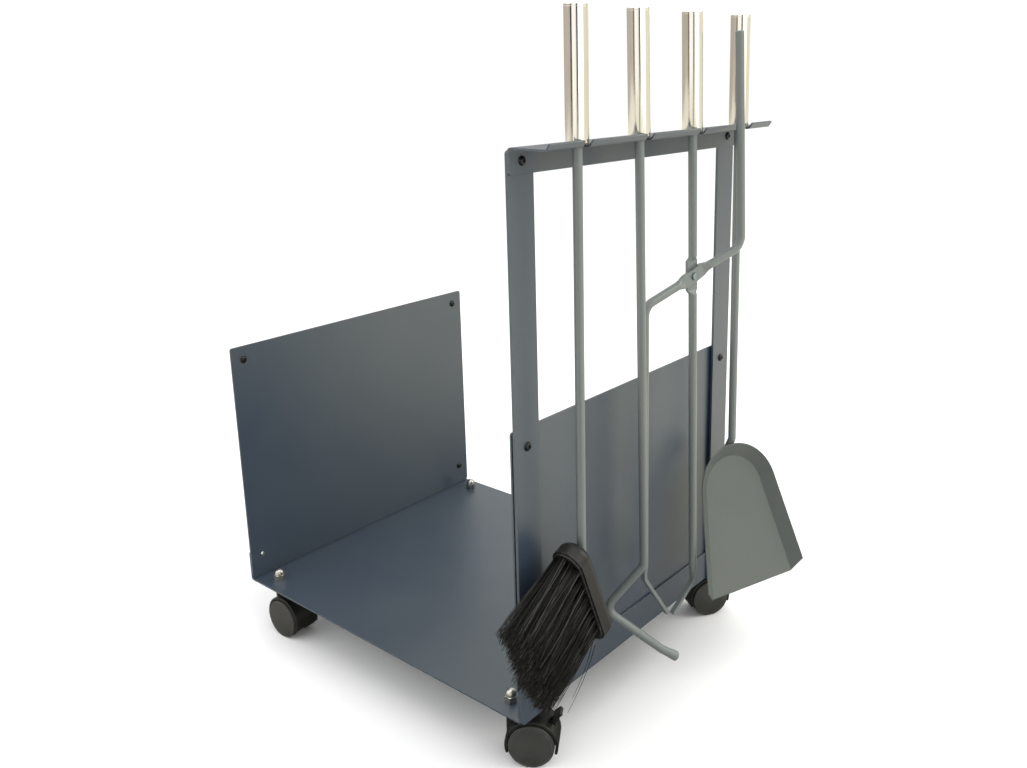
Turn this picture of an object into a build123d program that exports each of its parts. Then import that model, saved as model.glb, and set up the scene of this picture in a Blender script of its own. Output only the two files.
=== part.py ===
from build123d import *
import math
import os
import random

os.makedirs("parts", exist_ok=True)

# The tray's lower front left corner, seen from the middle of the object's footprint
LEFT = -297.5
FRONT = -190.0
UNDER = 65.0

# Sheet metal
SHEET = 2.0
TRAY_WIDE = 480.0
TRAY_DEEP = 400.0
TRAY_FLANGE = 40.0
BEND = 3.0
PANEL_FOOT = 4.0
PANEL_TOP = 320.0
PANEL_CORNER = 3.0

# Fixing holes, as distances from the tray's front edge and its underside
FIXING_HOLE = 5.3
FIXING_YS = (17.5, 382.5)
LOW_FIXING = 32.0
HIGH_FIXING = 302.5
RACK_FIXING = 577.0

# Uprights
UPRIGHT_WIDE = 35.0
UPRIGHT_THICK = 3.0
UPRIGHT_TOP = 587.0
UPRIGHT_X = TRAY_WIDE

# Tool rack
RACK_TOP = 590.0
RACK_FLANGE_FOOT = 565.0
RACK_X = UPRIGHT_X + UPRIGHT_THICK
LIP_FOOT_X = 528.8
LIP_LENGTH = 6.8
LIP_LEAN = 57.0
SLOT_WIDE = 10.5
SLOT_MOUTH = 14.0
TOOL_X = 518.6
TOOL_YS = {"brush": 55.0, "poker": 152.7, "tongs": 250.4, "shovel": 348.1}

# How each tool hangs: its lean in degrees and the heading towards which its lower end leans
LEANS = {"brush": (0.0, 90.0), "poker": (1.55, 90.0), "tongs": (1.6, 80.0), "shovel": (1.0, 90.0)}

# Screws and nuts
M5 = 5.0
M5_HEAD = 9.5
M5_HEAD_HIGH = 2.75
M5_KEY = 3.0
M5_NUT_WIDE = 8.0
M5_NUT_HIGH = 4.0
M8 = 8.0
M8_NUT_WIDE = 13.0
M8_NUT_HEX = 8.0
M8_NUT_HIGH = 15.0
M8_DOME = 12.5
STEM_HOLE = 8.4

# Casters: swivel position, then the direction that the outer disc faces
CASTERS = {
    "front_left": (32.5, 21.0, -87.5, False),
    "front_right": (447.5, 21.0, -56.0, True),
    "rear_left": (32.5, 379.0, -50.0, False),
    "rear_right": (447.5, 379.0, -34.0, False),
}
COLLAR = 16.0
COLLAR_HIGH = 4.0
PIN_FOOT = -30.0
SWIVEL_FIT = 0.05
TRAIL = 22.5
AXLE_Z = -40.0
AXLE = 5.0
AXLE_LONG = 28.0
WHEEL = 50.0
WHEEL_INNER = 6.5
WHEEL_OUTER = 19.2
DISC_RISE = 0.9
HOOD_RADIUS = 29.0
HOOD_ARCH = 26.0
HOOD_WIDE = 34.0
WEB_WIDE = 12.0
LEG_DROP = 8.0
BOSS = 12.0
BOSS_TOP = -4.5
BOSS_FOOT = -36.0
LEVER_ANGLE = 43.0
LEVER_PIVOT = 20.0
LEVER_THICK = 4.0
LEVER_PAD = 13.0
LEVER_THROW = 15.0
TRUNNION = 3.0

# Handles and rods
HANDLE = 22.0
HANDLE_WALL = 1.0
PLUG_FLANGE = 2.0
CAP_FLANGE = 2.5
HANDLE_TOP = 712.0
SPIGOT = 18.0
ROD = 9.5
ROD_TOP = RACK_TOP + 18.0

# Brush head: its bristle face starts at this height and depth and runs down and to the back
HEAD_START = (30.0, 183.0)
HEAD_SLOPE = 68.6
HEAD_LONG = 126.0
HEAD_WIDE = 39.0
HEAD_THICK = 21.0
HEAD_ROUND = 9.0
HEAD_MIDDLE = 49.0
BACKING = 2.0
BACKING_INSET = 2.0
SHAFT_FOOT = 160.0
STRAND_ROWS = 48
STRAND_COLUMNS = 9
STRAND_LONG = 91.0
STRAND = 0.75

# Poker: the rod's line as distances along its hook's plane and heights
POKER_RUN = ((0, ROD_TOP), (0, 121.7), (-45.5, 71.5), (20.0, 12.5), (37.5, 1.0))

# Tongs: the turn of the plane in which they open, and the pivot
TONGS_TURN = 80.0
PIVOT_ALONG = -1.5
PIVOT_Z = 434.0
FLAT_WIDE = 15.2
FLAT_THICK = 3.6
FLAT_GAP = 0.2
FLAT_TOP = 451.0
FLAT_FOOT = 418.0
RIVET = 5.0
RIVET_FIT = 0.05
BLADE_WIDE = 6.4
BLADE_THICK = 4.2
JAW_FLARE = 12.0

# Tongs' bends and ends, measured from the pivot along that plane, out of it and upwards
FLAT_OUT = (FLAT_THICK + FLAT_GAP) / 2
FLAT_LONG = 15.0
UPPER_BEND = (65.6, 15.0, 25.0)
UPPER_END = (59.1, 15.0, 258.0)
LOWER_BEND = (-73.6, 0.0, -20.2)
LOWER_FOOT = (-80.4, 0.0, -322.0)
MOVING_TIP = (-44.7, 0.0, -398.1)
FIXED_FOOT = (1.5, 0.0, -358.0)
FIXED_TIP = (-34.8, 0.0, -404.6)

# Shovel pan: the middle of the floor's rounded end, its turn, its slope and its outline
PAN_APEX = (517.4, 340.6, 189.6)
PAN_TURN = 18.9
PAN_SLOPE = 20.1
PAN_ROLL = -1.0
PAN_ROUND = 43.3
PAN_SPREAD = 9.6
PAN_LONG = 158.5
PAN_SHEET = 1.5
RIM_HIGH = 12.2
RIM_FLARE = 14.6
RIM_CUT = 12.7
TAIL_WIDE = 14.0
TAIL_THICK = 4.6

RISING = (Align.CENTER, Align.CENTER, Align.MIN)
HANGING = (Align.CENTER, Align.CENTER, Align.MAX)


def spot(x, y, z):
    """A point measured from the tray's lower front left corner."""
    return Vector(x + LEFT, y + FRONT, z + UNDER)


def front_section(y):
    """The plane that faces the front, with the tray's x and z as its own directions."""
    return Plane(origin=spot(0, y, 0), x_dir=(1, 0, 0), z_dir=(0, -1, 0))


def side_section(x):
    """The plane that faces the tools' side, with the tray's y and z as its own directions."""
    return Plane(origin=spot(x, 0, 0), x_dir=(0, 1, 0), z_dir=(1, 0, 0))


def level(z):
    """The level plane at a height above the tray's underside."""
    return Plane(origin=spot(0, 0, z))


def side_spots(x, heights):
    """Fixing places at both depths and the given heights, facing the tools' side."""
    return [
        Plane(origin=spot(x, y, z), x_dir=(0, 1, 0), z_dir=(1, 0, 0))
        for y in FIXING_YS
        for z in heights
    ]


def stem_spots(z):
    """The four places where the caster stems pass the tray, at a height."""
    return [Location(spot(x, y, z)) for x, y, _, _ in CASTERS.values()]


# Frame

with BuildPart() as base_tray:
    with BuildSketch(front_section(0)):
        with BuildLine():
            FilletPolyline(
                (SHEET / 2, TRAY_FLANGE),
                (SHEET / 2, SHEET / 2),
                (TRAY_WIDE - SHEET / 2, SHEET / 2),
                (TRAY_WIDE - SHEET / 2, TRAY_FLANGE),
                radius=BEND,
            )
        trace(line_width=SHEET)
    extrude(amount=-TRAY_DEEP)
    flange_corners = base_tray.edges().filter_by(Axis.X).group_by(Axis.Z)[-1]
    fillet(flange_corners, PANEL_CORNER)
    with Locations(*side_spots(0, (LOW_FIXING,))):
        Hole(FIXING_HOLE / 2)
    with Locations(*stem_spots(SHEET)):
        Hole(STEM_HOLE / 2)
base_tray.part.label = "base_tray"
export_step(base_tray.part, "parts/base_tray.step")


def side_panel(x):
    with BuildPart() as panel:
        with BuildSketch(side_section(x)):
            with Locations((TRAY_DEEP / 2, (PANEL_FOOT + PANEL_TOP) / 2)):
                RectangleRounded(TRAY_DEEP, PANEL_TOP - PANEL_FOOT, PANEL_CORNER)
        extrude(amount=SHEET)
        with Locations(*side_spots(x, (LOW_FIXING, HIGH_FIXING))):
            Hole(FIXING_HOLE / 2)
    return panel


left_panel = side_panel(SHEET)
left_panel.part.label = "left_panel"
export_step(left_panel.part, "parts/left_panel.step")

right_panel = side_panel(TRAY_WIDE - 2 * SHEET)
right_panel.part.label = "right_panel"
export_step(right_panel.part, "parts/right_panel.step")


def upright(y):
    with BuildPart() as bar:
        with BuildSketch(side_section(UPRIGHT_X)):
            with Locations((y, UPRIGHT_TOP / 2)):
                RectangleRounded(UPRIGHT_WIDE, UPRIGHT_TOP, PANEL_CORNER)
        extrude(amount=UPRIGHT_THICK)
        with BuildSketch(side_section(UPRIGHT_X)):
            with Locations(*[(y, z) for z in (LOW_FIXING, HIGH_FIXING, RACK_FIXING)]):
                Circle(FIXING_HOLE / 2)
        extrude(amount=UPRIGHT_THICK, mode=Mode.SUBTRACT)
    return bar


front_upright = upright(FIXING_YS[0])
front_upright.part.label = "front_upright"
export_step(front_upright.part, "parts/front_upright.step")

rear_upright = upright(FIXING_YS[1])
rear_upright.part.label = "rear_upright"
export_step(rear_upright.part, "parts/rear_upright.step")

with BuildPart() as upright_spacers:
    with Locations(*side_spots(TRAY_WIDE - SHEET, (HIGH_FIXING,))):
        Cylinder(M5_HEAD / 2 + 1.0, SHEET, align=RISING)
        Hole(FIXING_HOLE / 2)
upright_spacers.part.label = "upright_spacers"
export_step(upright_spacers.part, "parts/upright_spacers.step")

# Tool rack: a flange on the uprights, a shelf and a leaning lip, with four open slots

lean = math.radians(LIP_LEAN)
lip_end = (LIP_FOOT_X + LIP_LENGTH * math.cos(lean), RACK_TOP - SHEET / 2 + LIP_LENGTH * math.sin(lean))

with BuildPart() as tool_rack:
    with BuildSketch(front_section(0)):
        with BuildLine():
            FilletPolyline(
                (RACK_X + SHEET / 2, RACK_FLANGE_FOOT),
                (RACK_X + SHEET / 2, RACK_TOP - SHEET / 2),
                (LIP_FOOT_X, RACK_TOP - SHEET / 2),
                lip_end,
                radius=BEND,
            )
        trace(line_width=SHEET)
    extrude(amount=-TRAY_DEEP)
    flange_corners = tool_rack.edges().filter_by(Axis.X).group_by(Axis.Z)[0]
    fillet(flange_corners, PANEL_CORNER)
    with BuildSketch(level(RACK_TOP - 3 * SHEET)):
        for y in TOOL_YS.values():
            with Locations((TOOL_X + 20, y)):
                SlotCenterToCenter(40, SLOT_WIDE)
    extrude(amount=8 * SHEET, mode=Mode.SUBTRACT)
    with BuildSketch(side_section(LIP_FOOT_X)):
        for y in TOOL_YS.values():
            with BuildLine():
                Polyline(
                    (y - SLOT_WIDE / 2, RACK_TOP),
                    (y + SLOT_WIDE / 2, RACK_TOP),
                    (y + SLOT_MOUTH / 2, RACK_TOP + 8),
                    (y - SLOT_MOUTH / 2, RACK_TOP + 8),
                    close=True,
                )
            make_face()
    extrude(amount=10, mode=Mode.SUBTRACT)
    with Locations(*side_spots(RACK_X, (RACK_FIXING,))):
        Hole(FIXING_HOLE / 2)
tool_rack.part.label = "tool_rack"
export_step(tool_rack.part, "parts/tool_rack.step")

# Screws and nuts of the frame


def button_screw(length):
    """A button-head screw standing on its seat, shank downwards."""
    with BuildPart() as screw:
        with BuildSketch(Plane.XZ):
            with BuildLine():
                Polyline(
                    (0, M5_HEAD_HIGH),
                    (0, -length),
                    (M5 / 2 - 0.4, -length),
                    (M5 / 2, 0.4 - length),
                    (M5 / 2, 0),
                    (M5_HEAD / 2, 0),
                    (M5_HEAD / 2, 0.4),
                )
                ThreePointArc((M5_HEAD / 2, 0.4), (M5_HEAD * 0.36, 2.05), (M5_HEAD * 0.2, M5_HEAD_HIGH))
                Line((M5_HEAD * 0.2, M5_HEAD_HIGH), (0, M5_HEAD_HIGH))
            make_face()
        revolve(axis=Axis.Z)
        with BuildSketch(Plane.XY.offset(M5_HEAD_HIGH)):
            RegularPolygon(M5_KEY / 2, 6, major_radius=False)
        extrude(amount=-1.6, mode=Mode.SUBTRACT)
    return screw.part


def hex_nut(wide, high, bore):
    """A plain nut standing on its seat."""
    with BuildPart() as nut:
        with BuildSketch():
            RegularPolygon(wide / 2, 6, major_radius=False)
        extrude(amount=high)
        with BuildSketch(Plane.XZ):
            with BuildLine():
                Polyline(
                    (0, 0),
                    (wide / 2, 0),
                    (wide * 0.58, wide * 0.05),
                    (wide * 0.58, high - wide * 0.05),
                    (wide / 2, high),
                    (0, high),
                    close=True,
                )
            make_face()
        revolve(axis=Axis.Z, mode=Mode.INTERSECT)
        Hole(bore / 2)
    return nut.part


left_high = side_spots(2 * SHEET, (HIGH_FIXING,))
left_low = side_spots(2 * SHEET, (LOW_FIXING,))[-1]

with BuildPart() as left_panel_screws:
    with Locations(*left_high):
        add(button_screw(7.0))
    with Locations(left_low):
        add(button_screw(9.0))
left_panel_screws.part.label = "left_panel_screws"
export_step(left_panel_screws.part, "parts/left_panel_screws.step")

with BuildPart() as left_panel_nuts:
    with Locations(*side_spots(SHEET - M5_NUT_HIGH, (HIGH_FIXING,)), side_spots(-M5_NUT_HIGH, (LOW_FIXING,))[-1]):
        add(hex_nut(M5_NUT_WIDE, M5_NUT_HIGH, M5))
left_panel_nuts.part.label = "left_panel_nuts"
export_step(left_panel_nuts.part, "parts/left_panel_nuts.step")

with BuildPart() as right_side_screws:
    with Locations(*side_spots(RACK_X, (LOW_FIXING, HIGH_FIXING))):
        add(button_screw(12.0))
right_side_screws.part.label = "right_side_screws"
export_step(right_side_screws.part, "parts/right_side_screws.step")

with BuildPart() as right_side_nuts:
    with Locations(*side_spots(TRAY_WIDE - 2 * SHEET - M5_NUT_HIGH, (LOW_FIXING, HIGH_FIXING))):
        add(hex_nut(M5_NUT_WIDE, M5_NUT_HIGH, M5))
right_side_nuts.part.label = "right_side_nuts"
export_step(right_side_nuts.part, "parts/right_side_nuts.step")

with BuildPart() as rack_screws:
    with Locations(*side_spots(RACK_X + SHEET, (RACK_FIXING,))):
        add(button_screw(10.0))
rack_screws.part.label = "rack_screws"
export_step(rack_screws.part, "parts/rack_screws.step")

with BuildPart() as rack_nuts:
    with Locations(*side_spots(UPRIGHT_X - M5_NUT_HIGH, (RACK_FIXING,))):
        add(hex_nut(M5_NUT_WIDE, M5_NUT_HIGH, M5))
rack_nuts.part.label = "rack_nuts"
export_step(rack_nuts.part, "parts/rack_nuts.step")

# Caster stems and their dome nuts

with BuildPart() as caster_stems:
    with Locations(*stem_spots(0)):
        Cylinder(COLLAR / 2, COLLAR_HIGH, align=HANGING)
    with Locations(*stem_spots(PIN_FOOT)):
        Cylinder(M8 / 2, SHEET + 10 - PIN_FOOT, align=RISING)
    stem_ends = caster_stems.edges().filter_by(GeomType.CIRCLE).group_by(Axis.Z)
    chamfer(stem_ends[0] + stem_ends[-1], 0.8)
caster_stems.part.label = "caster_stems"
export_step(caster_stems.part, "parts/caster_stems.step")


def dome_nut():
    """A domed nut standing on its seat, bored from below."""
    with BuildPart() as nut:
        add(hex_nut(M8_NUT_WIDE, M8_NUT_HEX, M8))
        with BuildSketch(Plane.XZ):
            with BuildLine():
                Polyline((0, 5), (M8_DOME / 2, 5), (M8_DOME / 2, M8_NUT_HIGH - M8_DOME / 2))
                RadiusArc((M8_DOME / 2, M8_NUT_HIGH - M8_DOME / 2), (0, M8_NUT_HIGH), -M8_DOME / 2)
                Line((0, M8_NUT_HIGH), (0, 5))
            make_face()
        revolve(axis=Axis.Z)
        Cylinder(M8 / 2, 11, align=RISING, mode=Mode.SUBTRACT)
    return nut.part


with BuildPart() as stem_dome_nuts:
    with Locations(*stem_spots(SHEET)):
        add(dome_nut())
stem_dome_nuts.part.label = "stem_dome_nuts"
export_step(stem_dome_nuts.part, "parts/stem_dome_nuts.step")

# Casters, drawn with the swivel axis upright at the origin, the axle along x and the trail along y

lever_lift = math.radians(LEVER_ANGLE)
lever_pivot = (TRAIL + LEVER_PIVOT * math.cos(lever_lift), AXLE_Z + LEVER_PIVOT * math.sin(lever_lift))


def lever_outline(grow, turn):
    """The brake lever's blade and pad seen along the axle, grown all round and turned about its pivot."""
    with Locations(Location((*lever_pivot, 0), (0, 0, LEVER_ANGLE - turn))):
        with Locations((4.0, 0)):
            RectangleRounded(16 + 2 * grow, LEVER_THICK + 2 * grow, 1.2 + grow)


def caster_hood(braked):
    with BuildPart() as hood:
        with BuildSketch(Plane.YZ):
            with Locations((TRAIL, AXLE_Z)):
                Circle(HOOD_RADIUS)
            with Locations((TRAIL, AXLE_Z - LEG_DROP)):
                Rectangle(3 * HOOD_RADIUS, HOOD_RADIUS, align=(Align.CENTER, Align.MAX), mode=Mode.SUBTRACT)
        extrude(amount=HOOD_WIDE / 2, both=True)
        outer_rim = hood.edges().group_by(Axis.X)
        fillet(
            (outer_rim[0] + outer_rim[-1]).filter_by(lambda e: e.center().Z > AXLE_Z - LEG_DROP + 0.1), 1.2
        )
        leg_outside = math.sqrt(HOOD_RADIUS**2 - LEG_DROP**2)
        leg_inside = math.sqrt(HOOD_ARCH**2 - LEG_DROP**2)
        with BuildSketch(Plane.YZ):
            for side in (-1, 1):
                with Locations((TRAIL + side * (leg_outside + leg_inside) / 2, AXLE_Z - LEG_DROP)):
                    Circle((leg_outside - leg_inside) / 2)
        extrude(amount=HOOD_WIDE / 2 - 0.6, both=True)
        with BuildSketch(Plane.XY.offset(BOSS_TOP)):
            Circle(BOSS / 2)
        extrude(amount=BOSS_FOOT - BOSS_TOP)
        for side in (-1, 1):
            with BuildSketch(Plane.YZ.offset(side * WEB_WIDE / 2)):
                with Locations((TRAIL, AXLE_Z)):
                    Circle(HOOD_ARCH)
            extrude(amount=side * HOOD_WIDE, mode=Mode.SUBTRACT)
        with BuildSketch(Plane.YZ):
            with Locations((TRAIL, AXLE_Z)):
                Circle(HOOD_ARCH)
                Rectangle(2 * HOOD_ARCH, HOOD_ARCH, align=(Align.CENTER, Align.MIN), mode=Mode.SUBTRACT)
                Circle(AXLE + 3, mode=Mode.SUBTRACT)
        extrude(amount=HOOD_WIDE, both=True, mode=Mode.SUBTRACT)
        with BuildSketch(Plane.XY.offset(BOSS_TOP)):
            Circle(M8 / 2 + SWIVEL_FIT)
        extrude(amount=PIN_FOOT - BOSS_TOP - 0.5, mode=Mode.SUBTRACT)
        with BuildSketch(Plane.YZ):
            with Locations((TRAIL, AXLE_Z)):
                Circle(AXLE / 2)
        extrude(amount=HOOD_WIDE, both=True, mode=Mode.SUBTRACT)
        if braked:
            with BuildSketch(Plane.YZ):
                for turn in (0, LEVER_THROW / 3, 2 * LEVER_THROW / 3, LEVER_THROW):
                    lever_outline(0.4, turn)
            extrude(amount=4.0, both=True, mode=Mode.SUBTRACT)
            with BuildSketch(Plane.YZ):
                with Locations(lever_pivot):
                    Circle(TRUNNION / 2 + SWIVEL_FIT)
            extrude(amount=5.2, both=True, mode=Mode.SUBTRACT)
    return hood


def caster_wheel(side):
    """A wheel on one side of the web, with a slightly domed disc and a blind bore."""

    def at(across, radius):
        return (side * across, TRAIL + radius)

    bore = AXLE / 2 + SWIVEL_FIT
    disc = WHEEL / 2 - 2.8
    dome = (disc**2 + DISC_RISE**2) / (2 * DISC_RISE)
    half_dome = math.asin(disc / dome) / 2
    with BuildPart() as wheel:
        with BuildSketch(Plane.XY.offset(AXLE_Z)):
            with BuildLine():
                Polyline(
                    at(WHEEL_OUTER + DISC_RISE, 0),
                    at(AXLE_LONG / 2 + 0.2, 0),
                    at(AXLE_LONG / 2 + 0.2, bore),
                    at(WHEEL_INNER, bore),
                    at(WHEEL_INNER, WHEEL / 2 - 1.5),
                )
                ThreePointArc(
                    at(WHEEL_INNER, WHEEL / 2 - 1.5),
                    at(WHEEL_INNER + 0.44, WHEEL / 2 - 0.44),
                    at(WHEEL_INNER + 1.5, WHEEL / 2),
                )
                Line(at(WHEEL_INNER + 1.5, WHEEL / 2), at(WHEEL_OUTER - 1.5, WHEEL / 2))
                ThreePointArc(
                    at(WHEEL_OUTER - 1.5, WHEEL / 2),
                    at(WHEEL_OUTER - 0.44, WHEEL / 2 - 0.44),
                    at(WHEEL_OUTER, WHEEL / 2 - 1.5),
                )
                Polyline(
                    at(WHEEL_OUTER, WHEEL / 2 - 1.5),
                    at(WHEEL_OUTER, disc + 0.5),
                    at(WHEEL_OUTER - 0.4, disc + 0.25),
                    at(WHEEL_OUTER, disc),
                )
                ThreePointArc(
                    at(WHEEL_OUTER, disc),
                    at(WHEEL_OUTER + DISC_RISE - dome * (1 - math.cos(half_dome)), dome * math.sin(half_dome)),
                    at(WHEEL_OUTER + DISC_RISE, 0),
                )
            make_face()
        revolve(axis=Axis((0, TRAIL, AXLE_Z), (1, 0, 0)))
    return wheel


def brake_lever():
    with BuildPart() as lever:
        with BuildSketch(Plane.YZ):
            lever_outline(0, 0)
        extrude(amount=3.4, both=True)
        with BuildSketch(Plane.YZ):
            with Locations(Location((*lever_pivot, 0), (0, 0, LEVER_ANGLE))):
                Polygon(
                    (11.4, -LEVER_THICK / 2),
                    (17.5, -LEVER_THICK / 2),
                    (21.0, 0.2),
                    (25.2, 0.4),
                    (25.2, 4.2),
                    (16.2, 5.2),
                    (13.4, LEVER_THICK / 2),
                    (11.4, LEVER_THICK / 2),
                    align=None,
                )
        extrude(amount=LEVER_PAD / 2, both=True)
        pad_ends = lever.edges().group_by(Axis.X)
        fillet(pad_ends[0] + pad_ends[-1], 0.8)
        with BuildSketch(Plane.YZ):
            with Locations(lever_pivot):
                Circle(TRUNNION / 2)
        extrude(amount=5.0, both=True)
    return lever


def caster_axle():
    with BuildPart() as axle:
        with BuildSketch(Plane.YZ):
            with Locations((TRAIL, AXLE_Z)):
                Circle(AXLE / 2)
        extrude(amount=AXLE_LONG / 2, both=True)
        chamfer(axle.edges().filter_by(GeomType.CIRCLE), 0.5)
    return axle


for corner, (x, y, turn, braked) in CASTERS.items():
    place = Location(spot(x, y, 0), (0, 0, turn))
    pieces = {
        "hood": caster_hood(braked),
        "axle": caster_axle(),
        "wheel_outer": caster_wheel(1),
        "wheel_inner": caster_wheel(-1),
    }
    if braked:
        pieces["brake_lever"] = brake_lever()
    for piece, builder in pieces.items():
        placed = place * builder.part
        placed.label = f"{corner}_{piece}"
        export_step(placed, f"parts/{corner}_{piece}.step")

# Tools: each is drawn upright on its slot's axis and then leant as it hangs


def tool_at(tool, z):
    """The place on a tool's axis at a height."""
    return spot(TOOL_X, TOOL_YS[tool], z)


def hung(tool, piece):
    """A piece of a tool as it hangs, leant about its slot and raised so that its plug only rests."""
    degrees, heading = LEANS[tool]
    slot = Location(tool_at(tool, RACK_TOP), (0, 0, heading))
    raised = Location((0, 0, HANDLE / 2 * math.sin(math.radians(degrees))))
    placed = raised * slot * Location((0, 0, 0), (0, -degrees, 0)) * slot.inverse() * piece
    placed.label = piece.label
    return placed


# Handles: a steel tube with a plug that holds the rod and a cap

for tool, y in TOOL_YS.items():
    tube_foot = RACK_TOP + PLUG_FLANGE
    tube_top = HANDLE_TOP - CAP_FLANGE
    with BuildPart() as handle:
        with Locations(spot(TOOL_X, y, tube_foot)):
            Cylinder(HANDLE / 2, tube_top - tube_foot, align=RISING)
            Cylinder(HANDLE / 2 - HANDLE_WALL, tube_top - tube_foot, align=RISING, mode=Mode.SUBTRACT)
    handle.part.label = f"{tool}_handle"
    export_step(hung(tool, handle.part), f"parts/{tool}_handle.step")

    with BuildPart() as cap:
        with Locations(spot(TOOL_X, y, tube_top)):
            Cylinder(HANDLE / 2, CAP_FLANGE, align=RISING)
            Cylinder(HANDLE / 2 - HANDLE_WALL, 10, align=HANGING)
        fillet(cap.edges().filter_by(GeomType.CIRCLE).group_by(Axis.Z)[-1], 0.8)
    cap.part.label = f"{tool}_cap"
    export_step(hung(tool, cap.part), f"parts/{tool}_cap.step")

    with BuildPart() as plug:
        with Locations(spot(TOOL_X, y, tube_foot)):
            Cylinder(HANDLE / 2, PLUG_FLANGE, align=HANGING)
            chamfer(plug.edges().sort_by(Axis.Z)[0], 0.8)
            Cylinder(HANDLE / 2 - HANDLE_WALL, SPIGOT, align=RISING)
        with Locations(spot(TOOL_X, y, RACK_TOP)):
            Cylinder(ROD / 2, ROD_TOP - RACK_TOP, align=RISING, mode=Mode.SUBTRACT)
        with Locations(spot(TOOL_X, y, ROD_TOP)):
            Cylinder(3, 10, align=RISING, mode=Mode.SUBTRACT)
    plug.part.label = f"{tool}_plug"
    export_step(hung(tool, plug.part), f"parts/{tool}_plug.step")


# Brush

with BuildPart() as brush_shaft:
    with Locations(tool_at("brush", ROD_TOP)):
        Cylinder(ROD / 2, ROD_TOP - SHAFT_FOOT, align=HANGING)
    chamfer(brush_shaft.edges().filter_by(GeomType.CIRCLE), 0.8)
brush_shaft.part.label = "brush_shaft"
export_step(hung("brush", brush_shaft.part), "parts/brush_shaft.step")

slope = math.radians(HEAD_SLOPE)
head_run = Vector(0, math.cos(slope), -math.sin(slope))
head_out = Vector(0, math.sin(slope), math.cos(slope))


def head_face(depth):
    """The bristle face of the brush head, or a plane behind it at a depth."""
    return Plane(origin=spot(TOOL_X, *HEAD_START) + head_out * depth, x_dir=head_run, z_dir=head_out)


with BuildPart() as brush_head:
    with BuildSketch(head_face(BACKING)):
        with Locations((HEAD_MIDDLE, 0)):
            SlotOverall(HEAD_LONG, HEAD_WIDE)
    extrude(amount=HEAD_THICK - BACKING)
    back_edges = brush_head.edges().group_by(Axis(spot(TOOL_X, *HEAD_START), head_out))[-1]
    fillet(back_edges, HEAD_ROUND)
    with Locations(tool_at("brush", SHAFT_FOOT)):
        Cylinder(ROD / 2, 60, align=RISING, mode=Mode.SUBTRACT)
brush_head.part.label = "brush_head"
export_step(hung("brush", brush_head.part), "parts/brush_head.step")


def strands():
    """Straight three-sided strands, in rows that spread a little from the backing to the tips."""
    chance = random.Random(7)
    reach_round = (HEAD_WIDE - 2 * BACKING_INSET) / 2
    reach_long = (HEAD_LONG - HEAD_WIDE) / 2
    found = []
    for row in range(STRAND_ROWS):
        for column in range(STRAND_COLUMNS):
            run = HEAD_MIDDLE + (row / (STRAND_ROWS - 1) - 0.5) * 2 * (reach_long + reach_round - 1.8)
            across = (column / (STRAND_COLUMNS - 1) - 0.5) * 2 * (reach_round - 2.0)
            if math.hypot(max(abs(run - HEAD_MIDDLE) - reach_long, 0), across) > reach_round - 1.0:
                continue
            run += chance.uniform(-0.25, 0.25)
            across += chance.uniform(-0.4, 0.4)
            root = Vector(TOOL_X + LEFT, HEAD_START[0] + FRONT, HEAD_START[1] + UNDER)
            root += head_run * run + head_out + Vector(across, 0, 0)
            drift = 17.0 - 0.06 * run + chance.uniform(-0.45, 0.45)
            spread = 0.16 * across + chance.uniform(-1.0, 1.0)
            long = STRAND_LONG + chance.uniform(-3.5, 2.5)
            sweep_to = head_run * drift - head_out * long + Vector(spread, 0, 0)
            base = [
                root + head_run * (STRAND * math.cos(a)) + Vector(STRAND * math.sin(a), 0, 0)
                for a in (math.radians(t + 40 * column) for t in (0, 120, 240))
            ]
            found.append(Solid.extrude(Face(Wire.make_polygon(base)), sweep_to))
    return found


with BuildPart() as brush_bristles:
    with BuildSketch(head_face(0)):
        with Locations((HEAD_MIDDLE, 0)):
            SlotOverall(HEAD_LONG - 2 * BACKING_INSET, HEAD_WIDE - 2 * BACKING_INSET)
    extrude(amount=BACKING)
    add(strands())
brush_bristles.part.label = "brush_bristles"
export_step(hung("brush", brush_bristles.part), "parts/brush_bristles.step")

# Poker: a rod bent to a hook in one plane that is turned halfway between front and side

half = math.sqrt(0.5)
poker_plane = Plane(origin=tool_at("poker", 0), x_dir=(half, half, 0), z_dir=(half, -half, 0))

with BuildPart() as poker_shaft:
    with BuildLine(poker_plane) as poker_line:
        FilletPolyline(*POKER_RUN, radius=15)
    with BuildSketch(Plane(origin=tool_at("poker", ROD_TOP), z_dir=(0, 0, -1))):
        Circle(ROD / 2)
    sweep(path=poker_line.line)
    poker_tip = poker_shaft.edges().filter_by(GeomType.CIRCLE).sort_by(Axis.Z)[0]
    fillet(poker_tip, 1.6)
poker_shaft.part.label = "poker_shaft"
export_step(hung("poker", poker_shaft.part), "parts/poker_shaft.step")

# Tongs: directions along and out of the plane in which they open

tongs_turn = math.radians(TONGS_TURN)
tongs_along = Vector(math.cos(tongs_turn), math.sin(tongs_turn), 0)
tongs_out = Vector(math.sin(tongs_turn), -math.cos(tongs_turn), 0)


def reach(along, out, z):
    """A point measured from the tongs' axis."""
    return tool_at("tongs", z) + tongs_along * along + tongs_out * out


def from_pivot(along, out, rise):
    return reach(PIVOT_ALONG + along, out, PIVOT_Z + rise)


def across_rod(point, direction):
    """A section across a rod, its own x in the plane in which the tongs open."""
    return Plane(origin=point, x_dir=direction.cross(tongs_out), z_dir=direction)


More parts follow.
